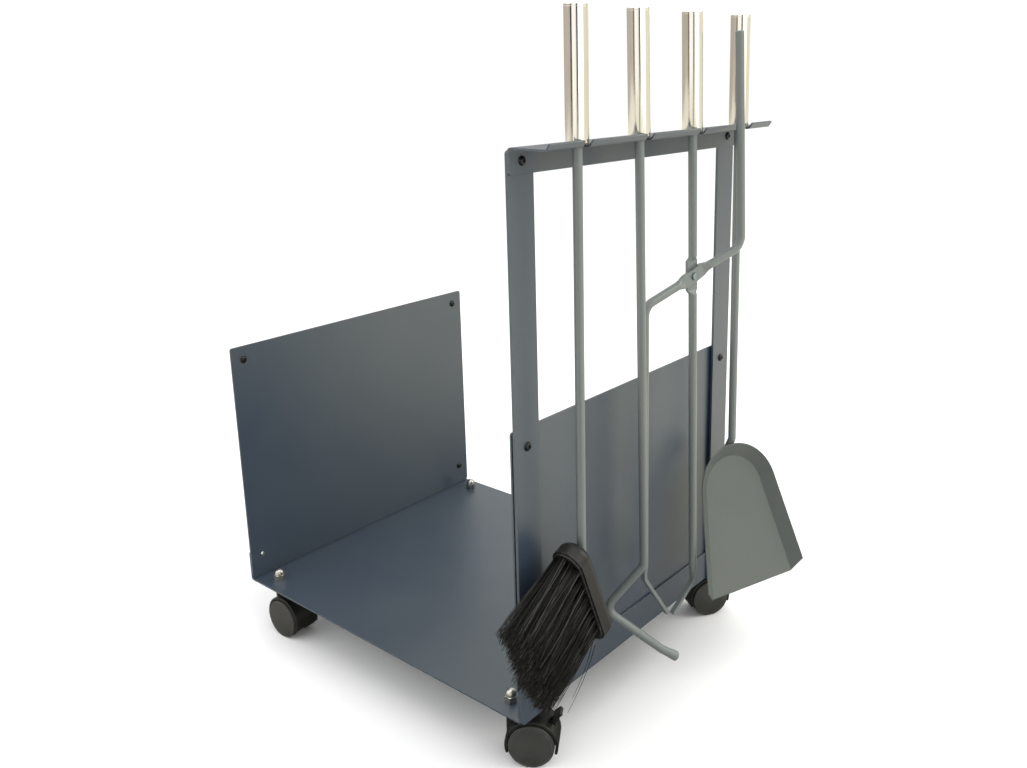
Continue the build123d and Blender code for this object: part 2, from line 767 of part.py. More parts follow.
def jaw(foot, heading, tip):
    """The drawn-out end of an arm: a flare from the rod, then a narrow bar bent towards the other arm."""
    flared = foot + heading * JAW_FLARE
    bend = flared + heading * 5.0
    with BuildPart() as end:
        with BuildSketch(across_rod(foot, heading)):
            Circle(ROD / 2)
        with BuildSketch(across_rod(flared, heading)):
            RectangleRounded(BLADE_THICK, BLADE_WIDE, 0.8)
        loft()
        with BuildLine() as bar_line:
            FilletPolyline(flared, bend, tip, radius=7)
        with BuildSketch(across_rod(flared, heading)):
            RectangleRounded(BLADE_THICK, BLADE_WIDE, 0.8)
        sweep(path=bar_line.line)
    return end.part


def flat_section(z, out=0.0):
    return Plane(origin=reach(0, out, z), x_dir=tongs_along, z_dir=(0, 0, 1))


DOWN = Vector(0, 0, -1)

with BuildPart() as tongs_fixed_arm:
    with Locations(reach(0, 0, ROD_TOP)):
        Cylinder(ROD / 2, ROD_TOP - FLAT_TOP - 5, align=HANGING)
    for end, side in ((FLAT_TOP, 1), (FLAT_FOOT, -1)):
        with BuildSketch(flat_section(end + side * 5)):
            Circle(ROD / 2)
        with BuildSketch(flat_section(end, -FLAT_OUT)):
            Rectangle(FLAT_WIDE, FLAT_THICK)
        loft()
    with BuildSketch(flat_section(FLAT_FOOT, -FLAT_OUT)):
        Rectangle(FLAT_WIDE, FLAT_THICK)
    extrude(amount=FLAT_TOP - FLAT_FOOT)
    fixed_foot = from_pivot(*FIXED_FOOT)
    with Locations(fixed_foot):
        Cylinder(ROD / 2, FLAT_FOOT - 5 - PIVOT_Z - FIXED_FOOT[2], align=RISING)
    add(jaw(fixed_foot, DOWN, from_pivot(*FIXED_TIP)))
    with BuildSketch(Plane(origin=from_pivot(0, 0, 0), z_dir=tongs_out)):
        Circle(RIVET / 2)
    extrude(amount=2 * FLAT_THICK, both=True, mode=Mode.SUBTRACT)
tongs_fixed_arm.part.label = "tongs_fixed_arm"
export_step(hung("tongs", tongs_fixed_arm.part), "parts/tongs_fixed_arm.step")

with BuildPart() as tongs_moving_arm:
    flat_plane = Plane(origin=from_pivot(0, FLAT_GAP / 2, 0), x_dir=tongs_along, z_dir=tongs_out)
    flat_ends = []
    for bend_along, _, bend_rise in (UPPER_BEND, LOWER_BEND):
        far = math.hypot(bend_along, bend_rise)
        flat_ends.append((bend_along / far, bend_rise / far))
    with BuildSketch(flat_plane):
        with BuildLine():
            Polyline(
                (flat_ends[0][0] * FLAT_LONG, flat_ends[0][1] * FLAT_LONG),
                (0, 0),
                (flat_ends[1][0] * FLAT_LONG, flat_ends[1][1] * FLAT_LONG),
            )
        trace(line_width=FLAT_WIDE)
    extrude(amount=FLAT_THICK)
    moving_foot = from_pivot(*LOWER_FOOT)
    runs = (
        (flat_ends[0], from_pivot(*UPPER_BEND), from_pivot(*UPPER_END), 18),
        (flat_ends[1], from_pivot(*LOWER_BEND), moving_foot, 15),
    )
    for (along, rise), bend, end, radius in runs:
        flat_end = from_pivot(along * FLAT_LONG, FLAT_OUT, rise * FLAT_LONG)
        rod_start = flat_end + (bend - flat_end).normalized() * 10.0
        heading = (bend - rod_start).normalized()
        with BuildSketch(across_rod(flat_end, tongs_along * along + Vector(0, 0, rise))):
            Rectangle(FLAT_WIDE, FLAT_THICK)
        with BuildSketch(across_rod(rod_start, heading)):
            Circle(ROD / 2)
        loft()
        with BuildLine() as rod_line:
            FilletPolyline(rod_start, bend, end, radius=radius)
        with BuildSketch(across_rod(rod_start, heading)):
            Circle(ROD / 2)
        sweep(path=rod_line.line)
    add(jaw(moving_foot, (moving_foot - from_pivot(*LOWER_BEND)).normalized(), from_pivot(*MOVING_TIP)))
    with BuildSketch(Plane(origin=from_pivot(0, 0, 0), z_dir=tongs_out)):
        Circle(RIVET / 2 + RIVET_FIT)
    extrude(amount=2 * FLAT_THICK, both=True, mode=Mode.SUBTRACT)
    top_edge = tongs_moving_arm.edges().filter_by(GeomType.CIRCLE).sort_by(Axis.Z)[-1]
    chamfer(top_edge, 1)
tongs_moving_arm.part.label = "tongs_moving_arm"
export_step(hung("tongs", tongs_moving_arm.part), "parts/tongs_moving_arm.step")

rivet_back = from_pivot(0, -FLAT_GAP / 2 - FLAT_THICK, 0)
rivet_front = from_pivot(0, FLAT_GAP * 1.5 + FLAT_THICK, 0)

with BuildPart() as tongs_rivet:
    with BuildSketch(Plane(origin=rivet_back, z_dir=tongs_out)):
        Circle(RIVET / 2)
    extrude(amount=(rivet_front - rivet_back).length)
    with BuildSketch(Plane(origin=rivet_back, z_dir=tongs_out * -1)):
        Circle(4.5)
    extrude(amount=2)
    with BuildSketch(Plane(origin=rivet_front, z_dir=tongs_out)):
        Circle(4.0)
    extrude(amount=2)
    head_edges = tongs_rivet.edges().filter_by(GeomType.CIRCLE).group_by(Axis(rivet_back, tongs_out))
    fillet(head_edges[0] + head_edges[-1], 1.2)
tongs_rivet.part.label = "tongs_rivet"
export_step(hung("tongs", tongs_rivet.part), "parts/tongs_rivet.step")

# Shovel pan: a sloping floor with a rounded top and a flared rim, open at its lower edge

pan_turn = math.radians(PAN_TURN)
pan_slope = math.radians(PAN_SLOPE)
pan_side = Vector(math.cos(pan_turn), -math.sin(pan_turn), 0)
pan_out = pan_side * math.cos(pan_slope) + Vector(0, 0, math.sin(pan_slope))
pan_fall = pan_side * math.sin(pan_slope) - Vector(0, 0, math.cos(pan_slope))
pan_down = pan_fall.rotate(Axis((0, 0, 0), pan_out), PAN_ROLL)
spread = math.radians(PAN_SPREAD)
flare = RIM_FLARE / RIM_HIGH
flare_slant = math.hypot(1, flare)


def pan_plane(out):
    """A plane parallel to the pan's floor, its own x down the floor from the rounded end."""
    return Plane(origin=spot(*PAN_APEX) + pan_out * out, x_dir=pan_down, z_dir=pan_out)


def pan_outline(out, grow, far=PAN_LONG + 30):
    """The floor's outline at a distance out of the floor, grown outwards, running on past the open edge."""
    round_off = PAN_ROUND + grow
    touch = (PAN_ROUND - round_off * math.sin(spread), round_off * math.cos(spread))
    edge = touch[1] + (far - touch[0]) * math.tan(spread)
    with BuildSketch(pan_plane(out)) as outline:
        with BuildLine():
            Line((far, -edge), (touch[0], -touch[1]))
            ThreePointArc((touch[0], -touch[1]), (-grow, 0), touch)
            Polyline(touch, (far, edge), (far, -edge))
        make_face()
    return outline.sketch


# The sheet's outer side runs parallel to the inner one and its edge is square
outside = PAN_SHEET * (flare_slant - flare)
edge_out = RIM_HIGH - PAN_SHEET * flare / flare_slant
edge_grow = RIM_FLARE + PAN_SHEET / flare_slant

with BuildPart() as shovel_pan:
    loft([pan_outline(-PAN_SHEET, outside), pan_outline(edge_out, edge_grow)], ruled=True)
    loft([pan_outline(edge_out, edge_grow), pan_outline(RIM_HIGH, RIM_FLARE)], ruled=True)
    loft([pan_outline(0, 0), pan_outline(2 * RIM_HIGH, 2 * RIM_FLARE)], ruled=True, mode=Mode.SUBTRACT)
    cut_heading = pan_down * RIM_HIGH + pan_out * RIM_CUT
    cut_start = spot(*PAN_APEX) + pan_down * PAN_LONG
    with BuildSketch(Plane(origin=cut_start, x_dir=pan_down.cross(pan_out), z_dir=cut_heading)):
        Rectangle(300, 300)
    extrude(amount=100, mode=Mode.SUBTRACT)
shovel_pan.part.label = "shovel_pan"
export_step(hung("shovel", shovel_pan.part), "parts/shovel_pan.step")

# Shovel shaft: bent in behind the rim, then flattened down the pan's back


def behind_pan(down, out):
    return pan_plane(0).from_local_coords(Vector(down, 0, out))


tail_out = -PAN_SHEET - TAIL_THICK / 2

with BuildPart() as shovel_shaft:
    with BuildLine() as shovel_line:
        FilletPolyline(
            tool_at("shovel", ROD_TOP),
            tool_at("shovel", 211),
            behind_pan(0, -7.7),
            behind_pan(9, -6.7),
            radius=10,
        )
    with BuildSketch(Plane(origin=tool_at("shovel", ROD_TOP), z_dir=(0, 0, -1))):
        Circle(ROD / 2)
    sweep(path=shovel_line.line)
    with BuildSketch(Plane(origin=behind_pan(9, -6.7), x_dir=pan_out, z_dir=pan_down)):
        Circle(ROD / 2)
    with BuildSketch(Plane(origin=behind_pan(24, tail_out), x_dir=pan_out, z_dir=pan_down)):
        Rectangle(TAIL_THICK, TAIL_WIDE)
    loft()
    with BuildSketch(Plane(origin=behind_pan(24, tail_out), x_dir=pan_out, z_dir=pan_down)):
        Rectangle(TAIL_THICK, TAIL_WIDE)
    extrude(amount=61)
    tail_end = shovel_shaft.faces().sort_by(Axis.Z)[0]
    fillet(tail_end.edges().filter_by(Axis(spot(*PAN_APEX), pan_out)), 5)
shovel_shaft.part.label = "shovel_shaft"
export_step(hung("shovel", shovel_shaft.part), "parts/shovel_shaft.step")
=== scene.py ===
"""A log basket with fireplace tools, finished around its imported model.

The sheet metal, casters, fasteners and tools are the model's own pieces, and each gets its
finish here. The brush's fibres and backing plate, the poker's upset end and the gate marks on
the wheel discs are surfaces made in this script. Lengths are in metres.
"""

import logging  # noqa: E402
import math  # noqa: E402
from dataclasses import dataclass, field, replace  # noqa: E402
from enum import Enum  # noqa: E402

import bpy  # noqa: E402
import numpy as np  # noqa: E402
from bpy.types import Material, Node, NodeSocket, NodeTree, Object  # noqa: E402
from mathutils import Matrix  # noqa: E402


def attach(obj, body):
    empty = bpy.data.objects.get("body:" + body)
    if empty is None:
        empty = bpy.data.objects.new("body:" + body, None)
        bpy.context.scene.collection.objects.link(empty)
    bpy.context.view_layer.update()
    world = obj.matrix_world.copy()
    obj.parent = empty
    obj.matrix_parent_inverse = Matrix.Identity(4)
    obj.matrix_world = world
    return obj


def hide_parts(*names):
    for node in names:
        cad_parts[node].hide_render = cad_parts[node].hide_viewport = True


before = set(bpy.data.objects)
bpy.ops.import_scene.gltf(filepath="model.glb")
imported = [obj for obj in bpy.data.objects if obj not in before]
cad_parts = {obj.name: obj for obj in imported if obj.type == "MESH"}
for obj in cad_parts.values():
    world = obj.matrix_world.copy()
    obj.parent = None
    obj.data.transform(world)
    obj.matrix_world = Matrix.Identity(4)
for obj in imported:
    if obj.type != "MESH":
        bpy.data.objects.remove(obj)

LOG = logging.getLogger("log_basket")
SEED = 20
FIBRE_TONE = "fibre_tone"
FINE_EDGES = (0.3, 0.7)

Colour = tuple[float, float, float, float]
Glow = tuple[float, float, float]
Point = tuple[float, float, float]
Span = tuple[float, float]
Array = np.ndarray
Sockets = bpy.types.bpy_prop_collection

UP = np.array([0.0, 0.0, 1.0])


def colour(code: str) -> Colour:
    """Turns a display colour such as "5a6368" into the linear colour that a shader reads.

    Args:
        code: Six hexadecimal digits for red, green and blue.

    Returns:
        Linear red, green and blue, and full opacity.
    """
    shown = np.array([int(code[i : i + 2], 16) for i in (0, 2, 4)]) / 255.0
    linear = np.where(shown <= 0.04045, shown / 12.92, ((shown + 0.055) / 1.055) ** 2.4)
    return (*(float(part) for part in linear), 1.0)


# Surfaces


@dataclass
class Skin:
    """Corner points and faces of one surface."""

    points: Array
    faces: list[list[int]]


def square_to(direction: Array) -> tuple[Array, Array]:
    """Two unit directions square to each given direction and to each other.

    Args:
        direction: Unit directions, in the last axis of the array.

    Returns:
        The side and the lift directions, where side × lift is the given direction.
    """
    away = np.where(np.abs(direction[..., 2:3]) < 0.9, [0.0, 0.0, 1.0], [1.0, 0.0, 0.0])
    side = np.cross(away, direction)
    side /= np.linalg.norm(side, axis=-1, keepdims=True)
    return side, np.cross(direction, side)


def closed_skin(points: Array) -> Skin:
    """Walls between the rings of one or more tubes, and a flat face over each tube's ends.

    Args:
        points: Tubes × rings × corners × 3, the corner points of every ring.

    Returns:
        All the tubes as one surface.
    """
    index = np.arange(points[..., 0].size).reshape(points.shape[:3])
    here, after = index[:, :-1], index[:, 1:]
    walls = np.stack([here, np.roll(here, -1, 2), np.roll(after, -1, 2), after], -1)
    ends = np.concatenate([index[:, 0, ::-1], index[:, -1]])
    return Skin(points.reshape(-1, 3), walls.reshape(-1, 4).tolist() + ends.tolist())


def ring_corners(side: Array, lift: Array, sides: int) -> Array:
    """A unit ring's corners: cos a × side + sin a × lift, where a goes once round.

    Args:
        side: One direction across the ring, in the last axis of the array.
        lift: The other, square to it.
        sides: How many corners the ring has.

    Returns:
        The corners, with an axis of their own before the last one.
    """
    turn = np.arange(sides)[:, None] * 2 * np.pi / sides
    return np.cos(turn) * side[..., None, :] + np.sin(turn) * lift[..., None, :]


def tubes(lines: Array, radii: Array, sides: int) -> Skin:
    """Closed tubes carried along many lines at once.

    A point is the line's point plus its radius times a unit ring's corner, where the ring is
    square to the line's overall direction.

    Args:
        lines: Tubes × rings × 3, the points that each tube follows.
        radii: Tubes × rings, the radius at each of those points.
        sides: How many corners a ring has.

    Returns:
        All the tubes as one surface.
    """
    heading = lines[:, -1] - lines[:, 0]
    heading /= np.linalg.norm(heading, axis=-1, keepdims=True)
    ring = ring_corners(*square_to(heading), sides)
    return closed_skin(lines[:, :, None] + radii[:, :, None, None] * ring[:, None])


def turned(profile: Array, foot: Array, axis: Array, sides: int) -> Skin:
    """A profile turned about an axis.

    A point is the foot plus height times the axis plus radius times a unit ring's corner, where
    the ring is square to the axis.

    Args:
        profile: Rows of (radius, height), from the lower end to the upper one.
        foot: The point on the axis where the height is 0.
        axis: The axis's unit direction.
        sides: How many steps the profile makes round the axis.

    Returns:
        The turned surface.
    """
    ring = ring_corners(*square_to(axis), sides)
    points = foot + profile[:, None, 1:2] * axis + profile[:, None, 0:1] * ring
    return closed_skin(points[None])


def node_points(node: str) -> Array:
    """Reads the corner points of one of the model's own pieces.

    Args:
        node: The piece.

    Returns:
        Its points, as rows of x, y and z.
    """
    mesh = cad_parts[node].data
    flat = np.zeros(len(mesh.vertices) * 3)
    mesh.vertices.foreach_get("co", flat)
    return flat.reshape(-1, 3)


def long_axis(points: Array) -> Array:
    """The unit direction in which a set of points is longest."""
    return np.linalg.svd(points - points.mean(0), full_matrices=False)[2][0]


# Shaders


class Bench:
    """A node tree with short ways to add a node and to wire its inputs."""

    def __init__(self, tree: NodeTree) -> None:
        """Keeps the tree that the nodes go into."""
        self.tree = tree

    def add(self, kind: str, inputs: dict[str, object] | None = None, **settings: object) -> Node:
        """Adds a node.

        Args:
            kind: The node's type name without the ShaderNode in front.
            inputs: A value, or another node's output, for each named input.
            **settings: The node's own properties.

        Returns:
            The new node.
        """
        node = self.tree.nodes.new(f"ShaderNode{kind}")
        for name, value in settings.items():
            setattr(node, name, value)
        for name, value in (inputs or {}).items():
            self.wire(node.inputs[name], value)
        return node

    def wire(self, socket: NodeSocket, value: object) -> None:
        """Links an output to a socket, or sets the socket's own value.

        Args:
            socket: The input to feed.
            value: Another node's output, or the value itself.
        """
        if isinstance(value, NodeSocket):
            self.tree.links.new(value, socket)
        else:
            socket.default_value = value

    def sums(self, operation: str, *values: object) -> NodeSocket:
        """Adds a Math node.

        Args:
            operation: What it works out.
            *values: Up to three values or outputs.

        Returns:
            The result.
        """
        node = self.add("Math", operation=operation)
        for socket, value in zip(node.inputs, values):
            self.wire(socket, value)
        return node.outputs[0]

    def dot(self, first: object, second: object) -> NodeSocket:
        """The dot product of two directions or places."""
        return self.vectors("DOT_PRODUCT", first, second).outputs["Value"]

    def vectors(self, operation: str, *values: object) -> Node:
        """Adds a Vector Math node.

        Args:
            operation: What it works out.
            *values: One or two vectors or outputs.

        Returns:
            The node, since some operations give a vector and others a value.
        """
        node = self.add("VectorMath", operation=operation)
        for socket, value in zip(node.inputs, values):
            self.wire(socket, value)
        return node

    def spread(
        self, value: object, low: float, high: float, start: object = 0.0, end: object = 1.0
    ) -> NodeSocket:
        """Maps a value from low…high to start…end, and holds it there beyond them."""
        inputs = {"Value": value, "From Min": low, "From Max": high, "To Min": start, "To Max": end}
        return self.add("MapRange", inputs).outputs["Result"]

    def mixed(self, factor: object, first: object, second: object) -> NodeSocket:
        """Mixes two colours.

        Args:
            factor: 0 for the first colour, 1 for the second, or between.
            first: The first colour.
            second: The second one.

        Returns:
            The mixed colour.
        """
        node = self.add("Mix", data_type="RGBA")
        for place, value in zip((0, 6, 7), (factor, first, second)):
            self.wire(node.inputs[place], value)
        return node.outputs[2]

    def noise(
        self, place: object, scale: object, detail: float = 2.0, rough: float = 0.5
    ) -> NodeSocket:
        """A noise pattern's value from 0 to 1 at a place."""
        inputs = {"Vector": place, "Scale": scale, "Detail": detail, "Roughness": rough}
        return self.add("TexNoise", inputs).outputs[0]


class Coating(Bench):
    """A new material's node tree, with its Principled shader and the object coordinates."""

    def __init__(self, title: str) -> None:
        """Starts a material.

        Args:
            title: The material's name.
        """
        self.material = bpy.data.materials.new(title)
        self.material.use_nodes = True
        super().__init__(self.material.node_tree)
        self.place = self.add("TexCoord").outputs["Object"]

    def tinted(self, base: object, tint: Colour, mask: object, share: float) -> NodeSocket:
        """Lays a tint over a colour.

        Args:
            base: The colour below.
            tint: The colour laid over it.
            mask: Where the tint goes, from 0 to 1.
            share: How much of it covers where the mask is 1.

        Returns:
            The tinted colour.
        """
        return self.mixed(self.sums("MULTIPLY", mask, share), base, tint)

    def glossed(self, pattern: object, gloss: float, spread: Span) -> NodeSocket:
        """A roughness that follows a pattern over the spread's range of the given gloss."""
        return self.spread(pattern, *FINE_EDGES, gloss * spread[0], gloss * spread[1])

    def feed(self, inputs: dict[str, object]) -> None:
        """Wires or sets the Principled shader's named inputs."""
        shader = self.tree.nodes["Principled BSDF"]
        for name, value in inputs.items():
            self.wire(shader.inputs[name], value)

    def raise_skin(self, height: object, depth: float, base: object = None) -> None:
        """Feeds the shader's normal from a bump.

        Args:
            height: The pattern that stands up, from 0 to 1.
            depth: How far it stands up.
            base: The normal under the bump, where it isn't the surface's own.
        """
        bump = self.add("Bump", {"Height": height, "Distance": depth, "Strength": 1.0})
        if base is not None:
            self.wire(bump.inputs["Normal"], base)
        self.feed({"Normal": bump.outputs[0]})


class Effect(Enum):
    """The surface effects that several finishes share."""

    COAT = "powder coat skin"
    EDGES = "rubbed edges"
    FILM = "handled film"
    DRAWN = "drawn lines"
    GRAIN = "moulded grain"
    RINGS = "turned rings"


# The sockets that carry a place or a direction; the others carry a number
VECTORS = {"Place", "Normal", "Centre", "Axle"}


class EffectShelf:
    """Builds each shared effect once, as a shader node group.

    Each pair of edges is the stretch of a pattern's value over which its mask goes from 0 to 1.
    """

    cloud_edges: Span = (0.32, 0.68)
    flake_finer: float = 4.0
    flake_edges: Span = (0.66, 0.78)
    corner_edges: Span = (0.985, 0.86)
    patch_edges: Span = (0.35, 0.7)
    smear_edges: Span = (0.4, 0.68)
    streak_scale: Point = (60.0, 60.0, 4.0)
    dust_scale: float = 1400.0
    dust_edges: Span = (0.63, 0.74)
    drawn_scale: Point = (1.0, 1.0, 0.012)
    band_share: float = 0.12
    band_edges: Span = (0.35, 0.65)
    tone_share: float = 0.03

    def __init__(self) -> None:
        """Starts with an empty shelf."""
        self.made: dict[Effect, NodeTree] = {}

    def place(self, coating: Coating, effect: Effect, inputs: dict[str, object]) -> Sockets:
        """Puts an effect into a material, at the material's object coordinates.

        Args:
            coating: The material.
            effect: Which effect it is.
            inputs: A value or an output for each other input that the material needs.

        Returns:
            The effect's outputs.
        """
        if effect not in self.made:
            self.made[effect] = self._build(effect)
        group = self.made[effect]
        return coating.add("Group", {"Place": coating.place, **inputs}, node_tree=group).outputs

    def _build(self, effect: Effect) -> NodeTree:
        """Makes an effect's node group.

        Args:
            effect: Which effect it is.

        Returns:
            The group, with its sockets and wires.
        """
        makers = {
            Effect.COAT: self._coat,
            Effect.EDGES: self._edges,
            Effect.FILM: self._film,
            Effect.DRAWN: self._drawn,
            Effect.GRAIN: self._grain,
            Effect.RINGS: self._rings,
        }
        tree = bpy.data.node_groups.new(effect.value, "ShaderNodeTree")
        makers[effect](tree)
        return tree

    @staticmethod
    def _sockets(
        tree: NodeTree, takes: tuple[str, ...], gives: tuple[str, ...]
    ) -> tuple[Bench, Sockets, Sockets]:
        """Declares a group's inputs, the first of which is the place, and its outputs.

        Args:
            tree: The group.
            takes: The names of its other inputs.
            gives: The names of its outputs.

        Returns:
            The group's bench, its inputs as outputs to read, and its output node's inputs.
        """
        for in_out, names in (("INPUT", ("Place", *takes)), ("OUTPUT", gives)):
            for name in names:
                kind = "NodeSocketVector" if name in VECTORS else "NodeSocketFloat"
                tree.interface.new_socket(name=name, in_out=in_out, socket_type=kind)
        entry = tree.nodes.new("NodeGroupInput")
        leave = tree.nodes.new("NodeGroupOutput")
        return Bench(tree), entry.outputs, leave.inputs

    def _coat(self, tree: NodeTree) -> None:
        """Powder coat: a fine orange peel, soft clouds in its tone, and scattered flakes.

        Args:
            tree: The empty group.
        """
        bench, takes, gives = self._sockets(
            tree, ("Peel Scale", "Cloud Scale"), ("Peel", "Cloud", "Flake")
        )
        peel = bench.noise(takes["Place"], takes["Peel Scale"], detail=1.5, rough=0.4)
        cloud = bench.noise(takes["Place"], takes["Cloud Scale"], detail=3.0, rough=0.55)
        flake_scale = bench.sums("MULTIPLY", takes["Peel Scale"], self.flake_finer)
        flake = bench.noise(takes["Place"], flake_scale, detail=0.0)
        bench.wire(gives["Peel"], peel)
        bench.wire(gives["Cloud"], bench.spread(cloud, *self.cloud_edges))
        bench.wire(gives["Flake"], bench.spread(flake, *self.flake_edges))

    def _edges(self, tree: NodeTree) -> None:
        """Rounds the shading at sharp edges and marks where rubbing thins the coat there.

        Args:
            tree: The empty group.
        """
        bench, takes, gives = self._sockets(
            tree, ("Radius", "Breakup Scale"), ("Normal", "Rubbed")
        )
        rounded = bench.add("Bevel", {"Radius": takes["Radius"]}, samples=4).outputs[0]
        own = bench.add("NewGeometry").outputs["Normal"]
        edge = bench.spread(bench.dot(rounded, own), *self.corner_edges)
        patchy = bench.noise(takes["Place"], takes["Breakup Scale"], detail=4.0, rough=0.6)
        patches = bench.spread(patchy, *self.patch_edges)
        bench.wire(gives["Normal"], rounded)
        bench.wire(gives["Rubbed"], bench.sums("MULTIPLY", edge, patches))

    def _film(self, tree: NodeTree) -> None:
        """Wiping marks and settled dust: broad smears crossed with fine upright streaks.

        Args:
            tree: The empty group.
        """
        bench, takes, gives = self._sockets(tree, ("Smear Scale",), ("Smear", "Dust"))
        smear = bench.noise(takes["Place"], takes["Smear Scale"], detail=4.0, rough=0.62)
        stretch = bench.add("Mapping", {"Vector": takes["Place"], "Scale": self.streak_scale})
        streak = bench.noise(stretch.outputs[0], 1.0, detail=3.0, rough=0.6)
        dust = bench.noise(takes["Place"], self.dust_scale, rough=0.7)
        smears = bench.spread(smear, *self.smear_edges)
        bench.wire(gives["Smear"], bench.sums("MULTIPLY", smears, streak))
        bench.wire(gives["Dust"], bench.spread(dust, *self.dust_edges))

    def _drawn(self, tree: NodeTree) -> None:
        """Fine lines along the piece's height, as drawn and polished tube has.

        Args:
            tree: The empty group.
        """
        bench, takes, gives = self._sockets(tree, ("Line Scale",), ("Lines", "Bands"))
        stretch = bench.add("Mapping", {"Vector": takes["Place"], "Scale": self.drawn_scale})
        lines = bench.noise(stretch.outputs[0], takes["Line Scale"], rough=0.7)
        broad = bench.sums("MULTIPLY", takes["Line Scale"], self.band_share)
        bands = bench.noise(stretch.outputs[0], broad, detail=1.0)
        bench.wire(gives["Lines"], lines)
        bench.wire(gives["Bands"], bench.spread(bands, *self.band_edges))

    def _grain(self, tree: NodeTree) -> None:
        """Moulded plastic's fine pits, with slow changes in its tone.

        Args:
            tree: The empty group.
        """
        bench, takes, gives = self._sockets(tree, ("Pit Scale",), ("Pits", "Tone"))
        cells = bench.add("TexVoronoi", {"Vector": takes["Place"], "Scale": takes["Pit Scale"]})
        slow = bench.sums("MULTIPLY", takes["Pit Scale"], self.tone_share)
        bench.wire(gives["Pits"], cells.outputs["Distance"])
        bench.wire(gives["Tone"], bench.noise(takes["Place"], slow, detail=3.0, rough=0.6))

    def _rings(self, tree: NodeTree) -> None:
        """Rings about an axle: a wave of the distance from the line through Centre along Axle.

        Args:
            tree: The empty group.
        """
        bench, takes, gives = self._sockets(tree, ("Centre", "Axle", "Ring Scale"), ("Ring",))
        away = bench.vectors("SUBTRACT", takes["Place"], takes["Centre"]).outputs[0]
        across = bench.vectors("CROSS_PRODUCT", away, takes["Axle"]).outputs[0]
        reach = bench.vectors("LENGTH", across).outputs["Value"]
        turns = bench.sums("MULTIPLY", reach, takes["Ring Scale"])
        bench.wire(gives["Ring"], bench.sums("SINE", turns))


# Finishes


@dataclass(frozen=True)
class Finish:
    """What every finish has: a title, which names its material."""

    title: str

    def material(self, shelf: EffectShelf) -> Material:
        """Builds the finish's material from its own values and the shared effects."""
        raise NotImplementedError


@dataclass(frozen=True)
class PaintFinish(Finish):
    """Baked powder coat or enamel on steel, satin, with a slight metallic flake."""

    body: Colour
    cloud: Colour
    rubbed: Colour
    sheen: Span = (0.36, 0.42)
    edge_radius: float = 0.0009
    ior: float = 1.85
    shine_tint: Colour = (1.0, 1.0, 1.0, 1.0)
    peel_scale: float = 620.0
    peel_depth: float = 0.00003
    cloud_scale: float = 7.0
    wear_scale: float = 90.0
    smear_scale: float = 9.0
    flake_share: float = 0.25
    rubbed_share: float = 0.55
    smear_gloss: float = 0.12

    def material(self, shelf: EffectShelf) -> Material:
        """Builds the paint: clouded colour, flakes, rubbed edges and an orange peel skin.

        Args:
            shelf: The shared effects.

        Returns:
            The new material.
        """
        coating = Coating(self.title)
        scales = {"Peel Scale": self.peel_scale, "Cloud Scale": self.cloud_scale}
        coat = shelf.place(coating, Effect.COAT, scales)
        wear = {"Radius": self.edge_radius, "Breakup Scale": self.wear_scale}
        edges = shelf.place(coating, Effect.EDGES, wear)
        film = shelf.place(coating, Effect.FILM, {"Smear Scale": self.smear_scale})
        tone = coating.mixed(coat["Cloud"], self.body, self.cloud)
        flaked = coating.tinted(tone, self.rubbed, coat["Flake"], self.flake_share)
        worn = coating.tinted(flaked, self.rubbed, edges["Rubbed"], self.rubbed_share)
        sheen = coating.spread(coat["Cloud"], 0.0, 1.0, *self.sheen)
        smeared = coating.sums("MULTIPLY_ADD", film["Smear"], self.smear_gloss, sheen)
        coating.feed({"Base Color": worn, "Roughness": smeared, "Metallic": 0.0})
        coating.feed({"IOR": self.ior, "Specular Tint": self.shine_tint})
        coating.raise_skin(coat["Peel"], self.peel_depth, edges["Normal"])
        return coating.material


@dataclass(frozen=True)
class SteelFinish(Finish):
    """Bare bright steel: polished tube, turned nuts or zinc plate."""

    tint: Colour
    dull: Colour
    gloss: float = 0.12
    gloss_spread: Span = (0.8, 1.3)
    line_scale: float = 900.0
    line_depth: float = 0.000004
    edge_radius: float = 0.0005
    smear_scale: float = 26.0
    smear_gloss: float = 0.10

    def material(self, shelf: EffectShelf) -> Material:
        """Builds the steel: drawn lines in height, tone and gloss, and a light handled film.

        Args:
            shelf: The shared effects.

        Returns:
            The new material.
        """
        coating = Coating(self.title)
        drawn = shelf.place(coating, Effect.DRAWN, {"Line Scale": self.line_scale})
        edges = shelf.place(coating, Effect.EDGES, {"Radius": self.edge_radius})
        film = shelf.place(coating, Effect.FILM, {"Smear Scale": self.smear_scale})
        tone = coating.mixed(drawn["Bands"], self.tint, self.dull)
        gloss = coating.glossed(drawn["Lines"], self.gloss, self.gloss_spread)
        smeared = coating.sums("MULTIPLY_ADD", film["Smear"], self.smear_gloss, gloss)
        coating.feed({"Base Color": tone, "Roughness": smeared, "Metallic": 1.0})
        coating.raise_skin(drawn["Lines"], self.line_depth, edges["Normal"])
        return coating.material


